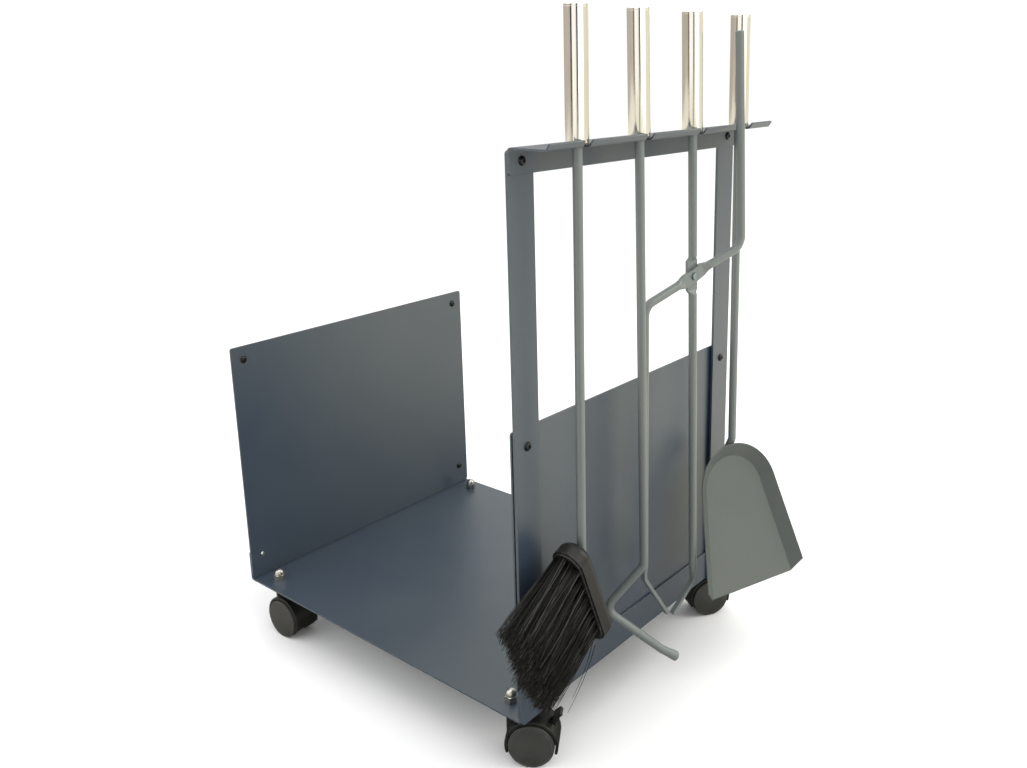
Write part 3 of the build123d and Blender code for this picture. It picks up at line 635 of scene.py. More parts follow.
@dataclass(frozen=True)
class PlasticFinish(Finish):
    """Moulded plastic, and the blackened screws, whose skin is as dark and closed."""

    body: Colour
    pale: Colour
    gloss: float = 0.45
    gloss_spread: Span = (0.88, 1.15)
    pit_scale: float = 1500.0
    pit_depth: float = 0.00002
    edge_radius: float = 0.0006
    ring_scale: float = 0.0
    ring_gloss: float = 0.05
    ring_height: float = 0.35
    centre: Point = (0.0, 0.0, 0.0)
    axle: Point = (1.0, 0.0, 0.0)
    ior: float = 1.42
    tone_edges: Span = (0.35, 0.65)
    wear_scale: float = 200.0
    rubbed: Colour = colour("8a8780")
    rubbed_share: float = 0.5
    dust: Colour = colour("8d8a82")
    dust_share: float = 0.18

    def material(self, shelf: EffectShelf) -> Material:
        """Builds the plastic: pits, tone, dust, rubbed edges and, on a wheel, turned rings.

        Args:
            shelf: The shared effects.

        Returns:
            The new material.
        """
        coating = Coating(self.title)
        grain = shelf.place(coating, Effect.GRAIN, {"Pit Scale": self.pit_scale})
        wear = {"Radius": self.edge_radius, "Breakup Scale": self.wear_scale}
        edges = shelf.place(coating, Effect.EDGES, wear)
        film = shelf.place(coating, Effect.FILM, {})
        tone = coating.spread(grain["Tone"], *self.tone_edges)
        toned = coating.mixed(tone, self.body, self.pale)
        dusted = coating.tinted(toned, self.dust, film["Dust"], self.dust_share)
        worn = coating.tinted(dusted, self.rubbed, edges["Rubbed"], self.rubbed_share)
        gloss = coating.glossed(grain["Tone"], self.gloss, self.gloss_spread)
        height = grain["Pits"]
        if self.ring_scale:
            turned = {"Centre": self.centre, "Axle": self.axle, "Ring Scale": self.ring_scale}
            ring = shelf.place(coating, Effect.RINGS, turned)["Ring"]
            gloss = coating.sums("MULTIPLY_ADD", ring, self.ring_gloss, gloss)
            height = coating.sums("MULTIPLY_ADD", ring, self.ring_height, height)
        coating.feed({"Base Color": worn, "Roughness": gloss, "IOR": self.ior})
        coating.raise_skin(height, self.pit_depth, edges["Normal"])
        return coating.material


@dataclass(frozen=True)
class FibreFinish(Finish):
    """Brush fibre, whose tone changes from strand to strand."""

    dark: Colour
    light: Colour
    gloss: float = 0.42
    gloss_spread: Span = (0.8, 1.2)
    ior: float = 1.36
    line_scale: float = 2200.0
    line_depth: float = 0.00002

    def material(self, shelf: EffectShelf) -> Material:
        """Builds the fibre from each strand's own tone, with fine lines in height and gloss.

        Args:
            shelf: The shared effects.

        Returns:
            The new material.
        """
        coating = Coating(self.title)
        tone = coating.add("Attribute", attribute_name=FIBRE_TONE).outputs["Fac"]
        lines = shelf.place(coating, Effect.DRAWN, {"Line Scale": self.line_scale})["Lines"]
        toned = coating.mixed(tone, self.dark, self.light)
        gloss = coating.glossed(lines, self.gloss, self.gloss_spread)
        coating.feed({"Base Color": toned, "Roughness": gloss, "IOR": self.ior})
        coating.raise_skin(lines, self.line_depth)
        return coating.material


class Stock(Enum):
    """The record's material slots, each a stock that the maker buys or coats."""

    FRAME_PAINT = "frame_paint"
    TOOL_PAINT = "tool_paint"
    HANDLE_STEEL = "handle_steel"
    HANDLE_PLUG = "handle_plug"
    BRUSH_BLOCK = "brush_block"
    BRISTLE = "bristle"
    CASTER_HOUSING = "caster_housing"
    CASTER_LEVER = "caster_lever"
    CASTER_WHEEL = "caster_wheel"
    BLACK_SCREW = "black_screw"
    BRIGHT_NUT = "bright_nut"
    ZINC = "zinc"


WHEEL_PLASTIC = PlasticFinish(
    "caster wheel plastic",
    colour("30302d"),
    colour("393935"),
    gloss=0.46,
    ring_scale=5200.0,
    ior=1.5,
)

TOOL_ENAMEL = PaintFinish(
    "grey tool enamel",
    colour("5c6361"),
    colour("636967"),
    colour("989d9b"),
    sheen=(0.32, 0.40),
    ior=1.75,
)

# Painted shade: the pan has the same enamel as the shafts, and this darker copy paints shade on it
# while the shafts keep the lighter tool enamel.
SHADED_PAN_ENAMEL = replace(
    TOOL_ENAMEL,
    title="grey pan enamel with painted shade",
    body=colour("424946"),
    cloud=colour("494f4c"),
    rubbed=colour("8d9290"),
)

FINISHES: dict[Stock, Finish] = {
    Stock.FRAME_PAINT: PaintFinish(
        "anthracite powder coat",
        colour("283648"),
        colour("2e3b4a"),
        colour("7f878c"),
        shine_tint=(0.99, 1.0, 0.88, 1.0),
    ),
    Stock.TOOL_PAINT: TOOL_ENAMEL,
    Stock.HANDLE_STEEL: SteelFinish(
        "polished handle tube", colour("f6f3ec"), colour("ece7da"), gloss=0.08
    ),
    Stock.HANDLE_PLUG: PlasticFinish(
        "handle plug", colour("33291f"), colour("413428"), gloss=0.38
    ),
    Stock.BRUSH_BLOCK: PlasticFinish(
        "brush block",
        colour("151514"),
        colour("1e1d1c"),
        gloss=0.38,
        pit_scale=900.0,
        edge_radius=0.0012,
    ),
    Stock.BRISTLE: FibreFinish("black fibre", colour("040404"), colour("5c5a56")),
    Stock.CASTER_HOUSING: PlasticFinish(
        "caster hood plastic", colour("151511"), colour("1d1c18"), gloss=0.4
    ),
    Stock.CASTER_LEVER: PlasticFinish(
        "brake lever plastic", colour("111110"), colour("191918"), gloss=0.36
    ),
    Stock.CASTER_WHEEL: WHEEL_PLASTIC,
    Stock.BLACK_SCREW: PlasticFinish(
        "black oxide screw",
        colour("08090a"),
        colour("0f1113"),
        gloss=0.2,
        pit_scale=2400.0,
        edge_radius=0.0002,
    ),
    Stock.BRIGHT_NUT: SteelFinish(
        "stainless nut",
        colour("c9c7bf"),
        colour("b0aea6"),
        gloss=0.2,
        line_scale=1600.0,
        edge_radius=0.0002,
    ),
    Stock.ZINC: SteelFinish(
        "zinc plate", colour("8f979c"), colour("7b848a"), gloss=0.32, line_scale=1200.0
    ),
}


# Pieces


class PaintShop:
    """Makes each finish's material when it is first asked for, and puts it on pieces."""

    def __init__(self) -> None:
        """Starts with the shared effects and no material."""
        self.shelf = EffectShelf()
        self.made: dict[Finish, Material] = {}

    def mix(self, finish: Finish) -> Material:
        """Gives the finish's material, which is made once."""
        if finish not in self.made:
            self.made[finish] = finish.material(self.shelf)
        return self.made[finish]

    def coat(self, thing: Object, finish: Finish) -> None:
        """Puts a finish on all of an object's material slots.

        Args:
            thing: The object.
            finish: Its finish.
        """
        material = self.mix(finish)
        if not thing.material_slots:
            thing.data.materials.append(material)
        for slot in thing.material_slots:
            slot.material = material

    def coat_node(self, node: str, stock: Stock) -> None:
        """Gives one of the model's own pieces its stock's finish."""
        self.finish_node(node, FINISHES[stock])

    def finish_node(self, node: str, finish: Finish) -> None:
        """Gives one of the model's own pieces a finish."""
        self.coat(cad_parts[node], finish)
        LOG.info("%s: %s", node, finish.title)

    def new_piece(
        self, name: str, skin: Skin, stock: Stock, body: str, smooth: bool = True
    ) -> Object:
        """Makes a surface into a finished piece that moves with a body.

        Args:
            name: The piece's name.
            skin: Its surface.
            stock: Whose finish it takes.
            body: The body it rides on.
            smooth: Whether the shading runs smoothly over its faces.

        Returns:
            The new object.
        """
        mesh = bpy.data.meshes.new(name)
        mesh.from_pydata(skin.points.tolist(), [], skin.faces)
        mesh.polygons.foreach_set("use_smooth", np.full(len(skin.faces), smooth))
        mesh.update()
        piece = bpy.data.objects.new(name, mesh)
        bpy.context.scene.collection.objects.link(piece)
        self.coat(piece, FINISHES[stock])
        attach(piece, body)
        LOG.info("%s: %d faces, rides on %s", name, len(skin.faces), body)
        return piece


@dataclass
class SheetFrame:
    """The bent tray, its side panels, the uprights and the tool rack."""

    shop: PaintShop
    sheets: tuple[str, ...] = (
        "base_tray",
        "left_panel",
        "right_panel",
        "front_upright",
        "rear_upright",
        "tool_rack",
    )

    def dress(self) -> None:
        """Coats every sheet and bar."""
        for node in self.sheets:
            self.shop.coat_node(node, Stock.FRAME_PAINT)


@dataclass
class Fasteners:
    """The black screws and their nuts, the spacers, the stems and the dome nuts."""

    shop: PaintShop
    stocks: dict[str, Stock] = field(
        default_factory=lambda: {
            "left_panel_screws": Stock.BLACK_SCREW,
            "right_side_screws": Stock.BLACK_SCREW,
            "rack_screws": Stock.BLACK_SCREW,
            "left_panel_nuts": Stock.BRIGHT_NUT,
            "right_side_nuts": Stock.BRIGHT_NUT,
            "rack_nuts": Stock.BRIGHT_NUT,
            "upright_spacers": Stock.ZINC,
            "caster_stems": Stock.ZINC,
            "stem_dome_nuts": Stock.BRIGHT_NUT,
        }
    )

    def dress(self) -> None:
        """Gives each set of fasteners its own metal."""
        for node, stock in self.stocks.items():
            self.shop.coat_node(node, stock)


class Corner(Enum):
    """The tray's corners, each with a caster."""

    FRONT_LEFT = "front_left"
    FRONT_RIGHT = "front_right"
    REAR_LEFT = "rear_left"
    REAR_RIGHT = "rear_right"


@dataclass
class TwinWheelCaster:
    """A hooded caster with two wheels on one axle."""

    shop: PaintShop
    corner: Corner
    braked: bool = False
    gate_radius: float = 0.0011
    gate_rise: float = 0.0006
    gate_round: float = 0.98
    gate_sunk: float = 0.4
    gate_drop: float = 0.0085
    gate_steps: int = 7
    gate_sides: int = 24
    dome_fall: float = 0.00014

    def dress(self) -> None:
        """Finishes the caster's pieces and adds the moulding marks to its discs."""
        name = self.corner.value
        self.shop.coat_node(f"{name}_hood", Stock.CASTER_HOUSING)
        self.shop.coat_node(f"{name}_axle", Stock.ZINC)
        if self.braked:
            self.shop.coat_node(f"{name}_brake_lever", Stock.CASTER_LEVER)
        axle_points = node_points(f"{name}_axle")
        centre, axle = axle_points.mean(0), long_axis(axle_points)
        finish = replace(
            WHEEL_PLASTIC,
            title=f"{name} wheel plastic",
            centre=tuple(centre.tolist()),
            axle=tuple(axle.tolist()),
        )
        for side in ("outer", "inner"):
            self.shop.finish_node(f"{name}_wheel_{side}", finish)
            self.mark_disc(side, centre, axle)

    def mark_disc(self, side: str, centre: Array, axle: Array) -> None:
        """Adds the gate mark below the middle of a wheel's disc: a low round button.

        Where h goes from 0 at its foot to 1 at its crown, the button's radius is the gate's
        radius × the root of (1 - round × h squared). Its foot lies sunk in the disc.

        Args:
            side: Which wheel of the pair, outer or inner.
            centre: The axle's middle.
            axle: The axle's unit direction.
        """
        name = self.corner.value
        wheel = node_points(f"{name}_wheel_{side}") - centre
        outward = axle * np.sign((wheel @ axle).mean())
        face = (wheel @ outward).max() - self.dome_fall
        height = np.linspace(0.0, 1.0, self.gate_steps)
        radius = self.gate_radius * np.sqrt(1 - self.gate_round * height**2)
        rise = self.gate_rise * (height * (1 + self.gate_sunk) - self.gate_sunk)
        foot = centre + outward * face - self.gate_drop * UP
        mark = turned(np.stack([radius, rise], -1), foot, outward, self.gate_sides)
        wheel_body = f"{name}_{side}_wheel"
        self.shop.new_piece(f"{name}_{side}_gate_mark", mark, Stock.CASTER_WHEEL, wheel_body)


@dataclass
class HandledTool:
    """A tool on a steel tube handle: the handle, its cap and plug, and painted steel below."""

    shop: PaintShop
    name: str
    painted: tuple[str, ...] = ()

    def dress(self) -> None:
        """Finishes the handle and the painted pieces, then adds the tool's own surfaces."""
        self.shop.coat_node(f"{self.name}_handle", Stock.HANDLE_STEEL)
        self.shop.coat_node(f"{self.name}_cap", Stock.HANDLE_STEEL)
        self.shop.coat_node(f"{self.name}_plug", Stock.HANDLE_PLUG)
        for node in self.painted:
            self.shop.coat_node(node, Stock.TOOL_PAINT)
        self.add_surfaces()

    def add_surfaces(self) -> None:
        """Adds what only this tool has."""


@dataclass
class Brush(HandledTool):
    """The hearth brush: tufts of black fibre set in a block."""

    # The block and its backing plate
    face_start: Point = (0.2211, -0.160, 0.248)
    slope_degrees: float = 68.6
    middle: float = 0.049
    block_long: float = 0.122
    block_wide: float = 0.035
    backing: float = 0.002
    backing_draw: float = 0.0007
    backing_draw_high: float = 0.0006
    outline_steps: int = 96
    # The tufts' holes
    tuft_rows: int = 20
    tuft_columns: int = 5
    tuft_radius: float = 0.0036
    tuft_margin: float = 0.001
    tuft_slack: float = 0.0006
    tuft_stagger: float = 0.5
    tuft_depth: float = 0.001
    rim_share: float = 0.45
    # The fibres, and how much they differ
    fibres_per_tuft: int = 54
    fibre_long: float = 0.090
    long_spread: float = 0.0022
    worn_spread: float = 0.0016
    fibre_radius: float = 0.00036
    radius_spread: Span = (0.8, 1.25)
    tip_share: float = 0.45
    flare: float = 0.6
    side_flare: float = 1.12
    clump_spread: float = 0.0016
    tip_spread: float = 0.0026
    bow_spread: float = 0.011
    set_middle: float = 0.017
    set_change: float = 0.06
    rings: int = 6
    sides: int = 3
    pale_share: float = 0.09
    pale_tones: Span = (0.45, 1.0)
    dark_tones: Span = (1.2, 12.0)
    # The fibres that have come loose
    stray_ends: tuple[tuple[Point, Point], ...] = (
        ((0.2205, -0.1130, 0.1330), (0.2205, -0.1600, 0.0790)),
        ((0.2190, -0.1145, 0.1400), (0.2190, -0.1500, 0.0900)),
    )
    stray_sag: Point = (0.0, 0.004, -0.002)

    def __post_init__(self) -> None:
        """Works out the block's directions from its slope."""
        slope = math.radians(self.slope_degrees)
        self.start = np.array(self.face_start)
        self.run = np.array([0.0, math.cos(slope), -math.sin(slope)])
        self.out = np.array([0.0, -math.sin(slope), -math.cos(slope)])
        self.across = np.array([1.0, 0.0, 0.0])

    def add_surfaces(self) -> None:
        """Adds the block's finish, the fibres in two sets, the backing and the stray fibres."""
        self.shop.coat_node("brush_head", Stock.BRUSH_BLOCK)
        chance = np.random.default_rng(SEED)
        heart, skirt = self.fibre_sets(chance)
        piece = self.fibre_piece("brush_fibres_heart", heart, chance)
        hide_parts("brush_bristles")
        self.fibre_piece("brush_fibres_skirt", skirt, chance)
        self.fibre_piece("brush_stray_fibres", self.strays(), chance)
        plate = self.backing_plate()
        self.shop.new_piece("brush_backing", plate, Stock.BRUSH_BLOCK, "brush", smooth=False)

    def on_block(self, along: Array, sideways: Array, out: Array) -> Array:
        """Turns lengths along, across and out of the block's face into points.

        Args:
            along: How far each point is along the block from its middle.
            sideways: How far it is to the side.
            out: How far it is out of the face.

        Returns:
            The points, in the last axis of the array.
        """
        return (
            self.start
            + (along + self.middle)[..., None] * self.run
            + sideways[..., None] * self.across
            + out[..., None] * self.out
        )

    def tuft_places(self) -> Array:
        """Sets the tufts' places on the face, in staggered rows inside the rounded outline.

        Returns:
            Rows of (along, across), from the block's middle.
        """
        half_long = (self.block_long - self.block_wide) / 2
        round_end = self.block_wide / 2
        reach_wide = round_end - self.tuft_radius - self.tuft_margin
        reach_long = half_long + reach_wide
        along, across = np.meshgrid(
            np.linspace(-reach_long, reach_long, self.tuft_rows),
            np.linspace(-reach_wide, reach_wide, self.tuft_columns),
            indexing="ij",
        )
        across[1::2] += reach_wide / (self.tuft_columns - 1) * self.tuft_stagger
        beyond = np.maximum(np.abs(along) - half_long, 0.0)
        inside = np.hypot(beyond, across) <= reach_wide + self.tuft_slack
        return np.stack([along[inside], across[inside]], -1)

    def fibre_sets(self, chance: np.random.Generator) -> tuple[Array, Array]:
        """Draws the fibres' lines.

        A fibre starts at its tuft's place plus a random offset in the tuft's round hole. Its
        tip is the fibre's length out of the face, moved along the block by the brush's set,
        with its tuft by the clump's lean, and outwards by the flare. The point a share t of
        the way is the straight line's point plus bow × t squared × (1 - t).

        Args:
            chance: Where the random draws come from.

        Returns:
            Strands × rings × 3, for the fibres inside the bundle and for those round it.
        """
        tufts = np.repeat(self.tuft_places(), self.fibres_per_tuft, axis=0)
        count = len(tufts)
        angle = chance.uniform(0, 2 * np.pi, count)
        spoke = self.tuft_radius * np.sqrt(chance.uniform(0, 1, count))
        offset = np.stack([np.cos(angle), np.sin(angle)], -1) * spoke[:, None]
        root = tufts + offset
        clump = chance.normal(0, self.clump_spread, (count // self.fibres_per_tuft, 2))
        lean = np.repeat(clump, self.fibres_per_tuft, axis=0)
        tip = root + self.flare * offset + lean + chance.normal(0, self.tip_spread, (count, 2))
        tip[:, 0] += self.set_middle - self.set_change * (root[:, 0] + self.middle)
        tip[:, 1] *= self.side_flare
        long = self.fibre_long + chance.normal(0.0, self.long_spread, count)
        long -= chance.exponential(self.worn_spread, count)
        tuft_long = chance.normal(0.0, self.long_spread, len(clump))
        long += np.repeat(tuft_long, self.fibres_per_tuft)
        share = np.linspace(0.0, 1.0, self.rings)[None, :, None]
        bow = chance.normal(0, self.bow_spread, (count, 1, 2))
        flat = root[:, None] * (1 - share) + tip[:, None] * share + bow * share**2 * (1 - share)
        out = (share * long[:, None, None] - self.tuft_depth * (1 - share))[..., 0]
        lines = self.on_block(flat[..., 0], flat[..., 1], out)
        rim = np.abs(tufts[:, 1]) > self.rim_share * np.abs(tufts[:, 1]).max()
        return lines[~rim], lines[rim]

    def strays(self) -> Array:
        """Draws the long fibres that have worked loose and hang out of the brush's lower end.

        The point a share t of the way is the straight line's point plus 4 × sag × t × (1 - t).

        Returns:
            Strands × rings × 3.
        """
        ends = np.array(self.stray_ends)[:, :, None]
        share = np.linspace(0.0, 1.0, self.rings)[None, :, None]
        sag = 4 * np.array(self.stray_sag) * share * (1 - share)
        return ends[:, 0] * (1 - share) + ends[:, 1] * share + sag

    def fibre_piece(self, name: str, lines: Array, chance: np.random.Generator) -> Object:
        """Makes fibres into a piece, each thinning to its tip and with its own tone.

        Args:
            name: The piece's name.
            lines: Strands × rings × 3, the fibres' lines.
            chance: Where the tones come from.

        Returns:
            The new piece.
        """
        count = len(lines)
        taper = np.linspace(1.0, self.tip_share, self.rings)
        thick = self.fibre_radius * chance.uniform(*self.radius_spread, count)
        skin = tubes(lines, thick[:, None] * taper, self.sides)
        piece = self.shop.new_piece(name, skin, Stock.BRISTLE, "brush")
        pale = chance.uniform(0, 1, count) < self.pale_share
        pale_tone = chance.uniform(*self.pale_tones, count)
        dark_tone = chance.beta(*self.dark_tones, count)
        tone = np.repeat(np.where(pale, pale_tone, dark_tone), self.rings * self.sides)
        attribute = piece.data.attributes.new(FIBRE_TONE, "FLOAT", "POINT")
        attribute.data.foreach_set("value", tone.astype(np.float32))
        return piece

    def backing_plate(self) -> Skin:
        """Shapes the block's lower plate: a round-ended outline, drawn in at its outer face.

        The outline is a circle whose two halves are moved apart along the block.

        Returns:
            The plate's surface.
        """
        turn = np.linspace(0, 2 * np.pi, self.outline_steps, endpoint=False)
        half_long = (self.block_long - self.block_wide) / 2
        depth = np.array([0.0, self.backing_draw_high, self.backing])[:, None]
        radius = self.block_wide / 2 - np.array([self.backing_draw, 0.0, 0.0])[:, None]
        along = radius * np.cos(turn) + half_long * np.sign(np.cos(turn))
        sideways = radius * np.sin(turn)
        return closed_skin(self.on_block(along, sideways, -depth)[None])


@dataclass
class Poker(HandledTool):
    """The poker, whose hook ends in a slightly upset tip."""

    tip_long: float = 0.016
    rod_radius: float = 0.00475
    swell: float = 0.0009
    swell_share: float = 0.62
    crown_start: float = 0.86
    crown_round: float = 0.75
    proud: float = 0.0003
    end_reach: float = 2.1
    tip_steps: int = 26
    tip_sides: int = 40

    def add_surfaces(self) -> None:
        """Adds the upset end, whose radius swells by a sine squared towards its rounded tip.

        Where h goes from 0 on the rod to 1 at the tip, the radius is the rod's plus swell × the
        sine squared of pi × share × h. Past the crown's start it closes in as a flat ellipse.
        """
        points = node_points("poker_shaft")
        lowest = points[points[:, 2].argmin()]
        near = np.linalg.norm(points - lowest, axis=1) < self.end_reach * self.rod_radius
        end = points[near]
        middle = end.mean(0)
        heading = np.linalg.svd(end - middle, full_matrices=False)[2][2]
        heading *= -np.sign(heading[2])
        tip = middle + heading * (((end - middle) @ heading).max() + self.proud)
        height = np.linspace(0.0, 1.0, self.tip_steps)
        swell = np.sin(np.pi * np.clip(height * self.swell_share, 0, 1)) ** 2
        crown = np.clip((height - self.crown_start) / (1 - self.crown_start), 0.0, 1.0)
        radius = (self.rod_radius + self.swell * swell) * np.sqrt(1 - self.crown_round * crown**2)
        profile = np.stack([radius, (height - 1) * self.tip_long], -1)
        skin = turned(profile, tip, heading, self.tip_sides)
        self.shop.new_piece("poker_upset_tip", skin, Stock.TOOL_PAINT, "poker")


@dataclass
class Tongs(HandledTool):
    """The tongs, with the rivet that joins their arms."""

    def add_surfaces(self) -> None:
        """Finishes the rivet."""
        self.shop.coat_node("tongs_rivet", Stock.ZINC)


@dataclass
class Shovel(HandledTool):
    """The shovel, whose shaft's flat tail is welded to the pan's back."""

    def add_surfaces(self) -> None:
        """Gives the pan a darker copy of the tool enamel, which paints shade on it."""
        self.shop.finish_node("shovel_pan", SHADED_PAN_ENAMEL)


# Camera, lamps and room


def standing(place: Point, side: Array, lift: Array, back: Array) -> Matrix:
    """The placing of something whose own x, y and z axes are the three given directions."""
    turn = np.stack([side, lift, back], -1)
    return Matrix.Translation(place) @ Matrix(turn.tolist()).to_4x4()


@dataclass
class PhotoCamera:
    """The camera that stands where the photograph was taken from."""

    place: Point = (0.76841, -0.81976, 0.72355)
    yaw_degrees: float = 38.32
    pitch_degrees: float = 14.10
    roll_degrees: float = -0.54
    focal_px: float = 961.44
    centre_px: Span = (584.08, 307.84)
    image_px: tuple[int, int] = (1027, 768)
    sensor: float = 36.0
    clip: Span = (0.05, 100.0)

    def build(self) -> None:
        """Makes the camera and gives it to the scene."""
        data = bpy.data.cameras.new("photo_camera")
        data.sensor_fit = "HORIZONTAL"
        data.sensor_width = self.sensor
        wide, high = self.image_px
        data.lens = self.focal_px / wide * self.sensor
        data.shift_x = (wide / 2 - self.centre_px[0]) / wide
        data.shift_y = (self.centre_px[1] - high / 2) / wide
        data.clip_start, data.clip_end = self.clip
        camera = bpy.data.objects.new("photo_camera", data)
        yaw = math.radians(self.yaw_degrees)
        pitch = math.radians(self.pitch_degrees)
        roll = math.radians(self.roll_degrees)
        flat = math.cos(pitch)
        ahead = np.array([-math.sin(yaw) * flat, math.cos(yaw) * flat, -math.sin(pitch)])
        level = np.array([math.cos(yaw), math.sin(yaw), 0.0])
        upright = np.cross(level, ahead)
        right = math.cos(roll) * level + math.sin(roll) * upright
        up = math.cos(roll) * upright - math.sin(roll) * level
        camera.matrix_world = standing(self.place, right, up, -ahead)
        bpy.context.scene.collection.objects.link(camera)
        bpy.context.scene.camera = camera


@dataclass
class SoftBox:
    """A large square lamp that faces a point."""

    name: str
    place: Point
    size: float
    power: float
    tint: Glow = (1.0, 1.0, 1.0)
    target: Point = (0.0, 0.0, 0.35)

    def build(self) -> None:
        """Makes the lamp and turns it to its target."""
        data = bpy.data.lights.new(self.name, "AREA")
        data.size = self.size
        data.energy = self.power
        data.color = self.tint
        lamp = bpy.data.objects.new(self.name, data)
        back = np.array(self.place) - np.array(self.target)
        back /= np.linalg.norm(back)
        lamp.matrix_world = standing(self.place, *square_to(back), back)
        bpy.context.scene.collection.objects.link(lamp)


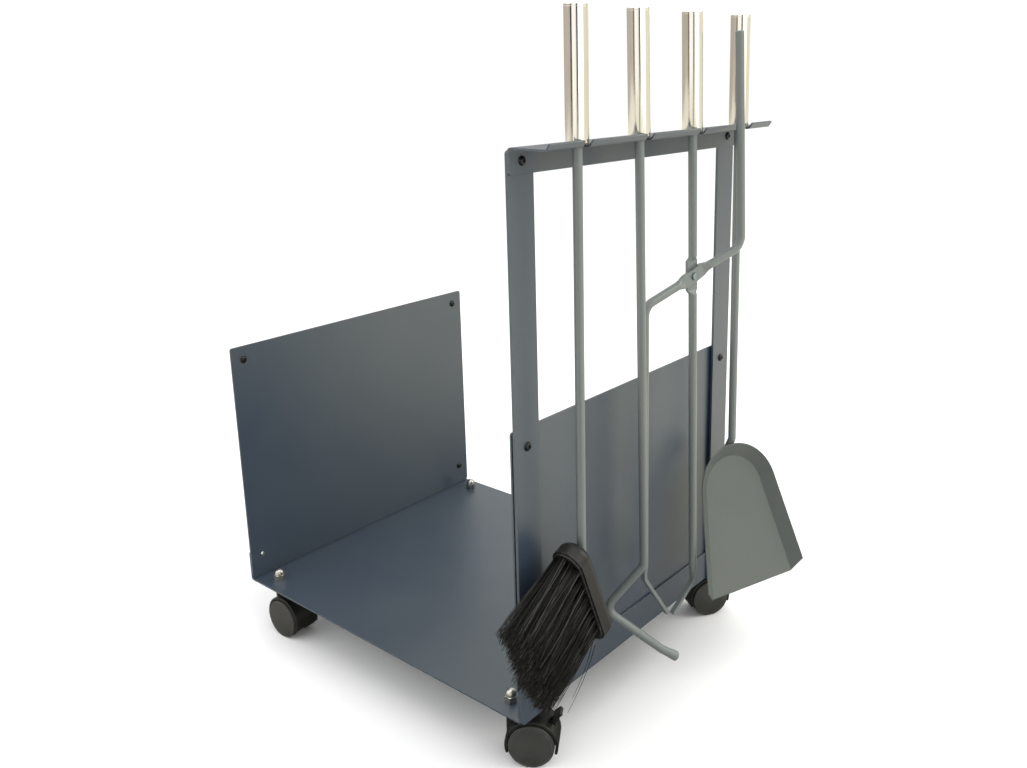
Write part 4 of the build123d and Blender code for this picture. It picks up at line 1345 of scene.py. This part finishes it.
@dataclass
class Studio:
    """A white room with soft lamps over a pale floor."""

    floor_half: float = 9.0
    # What reflections see of the floor is painted: a painted shade near the basket, where the floor
    # lies in its shadow, which brightens along the heading to a dimmer, warmer painted reflection
    # tone further out.
    painted_floor_shade_near: Colour = (0.10, 0.10, 0.10, 1.0)
    painted_floor_reflection_far: Colour = (0.82, 0.79, 0.68, 1.0)
    painted_shade_reach: Span = (0.12, 0.85)
    painted_shade_heading: Point = (0.76, 0.65, 0.0)
    floor_greys: tuple[Colour, Colour] = ((0.92, 0.92, 0.92, 1.0), (0.95, 0.95, 0.95, 1.0))
    floor_cloud: float = 1.5
    floor_rough: float = 0.85
    lamps: tuple[SoftBox, ...] = (
        SoftBox("key_lamp", (2.3, 1.9, 2.3), 2.2, 60.0, (1.0, 0.98, 0.90)),
        SoftBox("fill_lamp", (-1.6, -2.6, 2.2), 2.6, 16.0),
        SoftBox("top_lamp", (0.2, -0.2, 3.4), 3.0, 36.0),
    )
    walls: tuple[tuple[float, float, Glow], ...] = (
        (0.0, 0.197, (0.52, 0.47, 0.42)),
        (0.205, 0.243, (0.06, 0.06, 0.06)),
        (0.251, 0.345, (1.10, 1.08, 1.05)),
        (0.372, 0.400, (0.06, 0.06, 0.06)),
        (0.407, 0.543, (1.80, 1.78, 1.72)),
        (0.553, 0.730, (0.85, 0.82, 0.66)),
        (0.742, 0.838, (1.00, 0.98, 0.92)),
        (0.848, 1.0, (0.52, 0.47, 0.42)),
    )
    wall_peak: float = 2.0
    band_edges: Span = (0.13, 0.24)
    ceiling: Glow = (0.99, 1.0, 0.97)
    ceiling_shade: Glow = (0.20, 0.22, 0.24)
    shade_middle: float = 0.632
    shade_edges: Span = (0.07, 0.11)
    spread_light: float = 1.12
    backdrop_light: float = 1.05
    white: Colour = (1.0, 1.0, 1.0, 1.0)

    def build(self) -> None:
        """Makes the room, the floor, the lamps and the camera."""
        self.room()
        self.floor()
        for lamp in self.lamps:
            lamp.build()
        PhotoCamera().build()
        bpy.context.scene.view_settings.view_transform = "Standard"

    def dimmed(self, glow: Glow) -> Colour:
        """A glow as a share of the walls' peak, which a colour socket can hold."""
        return (*(part / self.wall_peak for part in glow), 1.0)

    def wall_glow(self, bench: Bench) -> NodeSocket:
        """Colours what reflections see: walls in upright bands, and the ceiling above them.

        Args:
            bench: The world's bench.

        Returns:
            The colour seen in each direction, as a share of the walls' peak.
        """
        sight = bench.add("TexCoord").outputs["Generated"]
        heading = bench.add("SeparateXYZ", {"Vector": sight}).outputs
        angle = bench.sums("ARCTAN2", heading["Y"], heading["X"])
        turn = bench.spread(angle, -math.pi, math.pi)
        ramp = bench.add("ValToRGB", {"Fac": turn})
        marks = ramp.color_ramp.elements
        stops = [(edge, glow) for start, end, glow in self.walls for edge in (start, end)]
        for place, _ in stops[1:-1]:
            marks.new(place)
        for mark, (_, glow) in zip(marks, stops):
            mark.color = self.dimmed(glow)
        aside = bench.sums("ABSOLUTE", bench.sums("SUBTRACT", turn, self.shade_middle))
        open_part = bench.spread(aside, *self.shade_edges)
        above = bench.mixed(open_part, self.dimmed(self.ceiling_shade), self.dimmed(self.ceiling))
        high = bench.spread(bench.sums("ABSOLUTE", heading["Z"]), *self.band_edges)
        return bench.mixed(high, ramp.outputs["Color"], above)

    def room(self) -> None:
        """Walls that only reflections see, an even light for the rest, and a white backdrop."""
        world = bpy.data.worlds.new("white_room")
        world.use_nodes = True
        bench = Bench(world.node_tree)
        backdrop = world.node_tree.nodes["Background"]
        backdrop.inputs["Color"].default_value = self.white
        backdrop.inputs["Strength"].default_value = self.backdrop_light
        glow = self.wall_glow(bench)
        mirrored = bench.add("Background", {"Color": glow, "Strength": self.wall_peak})
        even = bench.add("Background", {"Color": self.white, "Strength": self.spread_light})
        ray = bench.add("LightPath").outputs
        lit = bench.add("MixShader", {"Fac": ray["Is Diffuse Ray"]})
        bench.wire(lit.inputs[1], mirrored.outputs[0])
        bench.wire(lit.inputs[2], even.outputs[0])
        both = bench.add("MixShader", {"Fac": ray["Is Camera Ray"]})
        bench.wire(both.inputs[1], lit.outputs[0])
        bench.wire(both.inputs[2], backdrop.outputs[0])
        bench.wire(world.node_tree.nodes["World Output"].inputs["Surface"], both.outputs[0])
        bpy.context.scene.world = world

    def floor(self) -> None:
        """A flat pale floor, well past the view's edges. Reflections see painted shade on it near
        the basket, and a dimmer, warmer painted reflection tone further out.
        """
        half = self.floor_half
        rim = [(-half, -half, 0), (half, -half, 0), (half, half, 0), (-half, half, 0)]
        mesh = bpy.data.meshes.new("floor")
        mesh.from_pydata(rim, [], [(0, 1, 2, 3)])
        plane = bpy.data.objects.new("floor", mesh)
        coating = Coating("pale floor")
        clouds = coating.noise(coating.place, self.floor_cloud)
        pale = coating.mixed(clouds, *self.floor_greys)
        # Painted shade: in reflections the floor darkens towards the basket along this heading.
        away = coating.sums("ABSOLUTE", coating.dot(coating.place, self.painted_shade_heading))
        reach = coating.spread(away, *self.painted_shade_reach)
        seen = coating.mixed(reach, self.painted_floor_shade_near, self.painted_floor_reflection_far)
        # Only glossy rays see the painted shade and reflection tone; all other rays see the pale
        # floor.
        mirrored = coating.add("LightPath").outputs["Is Glossy Ray"]
        shown = coating.mixed(mirrored, pale, seen)
        coating.feed({"Base Color": shown, "Roughness": self.floor_rough})
        mesh.materials.append(coating.material)
        bpy.context.scene.collection.objects.link(plane)


def main() -> None:
    """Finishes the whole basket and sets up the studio."""
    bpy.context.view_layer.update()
    shop = PaintShop()
    assemblies = [
        SheetFrame(shop),
        Fasteners(shop),
        *(TwinWheelCaster(shop, corner, corner is Corner.FRONT_RIGHT) for corner in Corner),
        Brush(shop, "brush", ("brush_shaft",)),
        Poker(shop, "poker", ("poker_shaft",)),
        Tongs(shop, "tongs", ("tongs_fixed_arm", "tongs_moving_arm")),
        Shovel(shop, "shovel", ("shovel_shaft",)),
    ]
    for assembly in assemblies:
        assembly.dress()
    Studio().build()


if __name__ == "__main__":
    logging.basicConfig(level=logging.INFO, format="%(name)s: %(message)s")
    main()
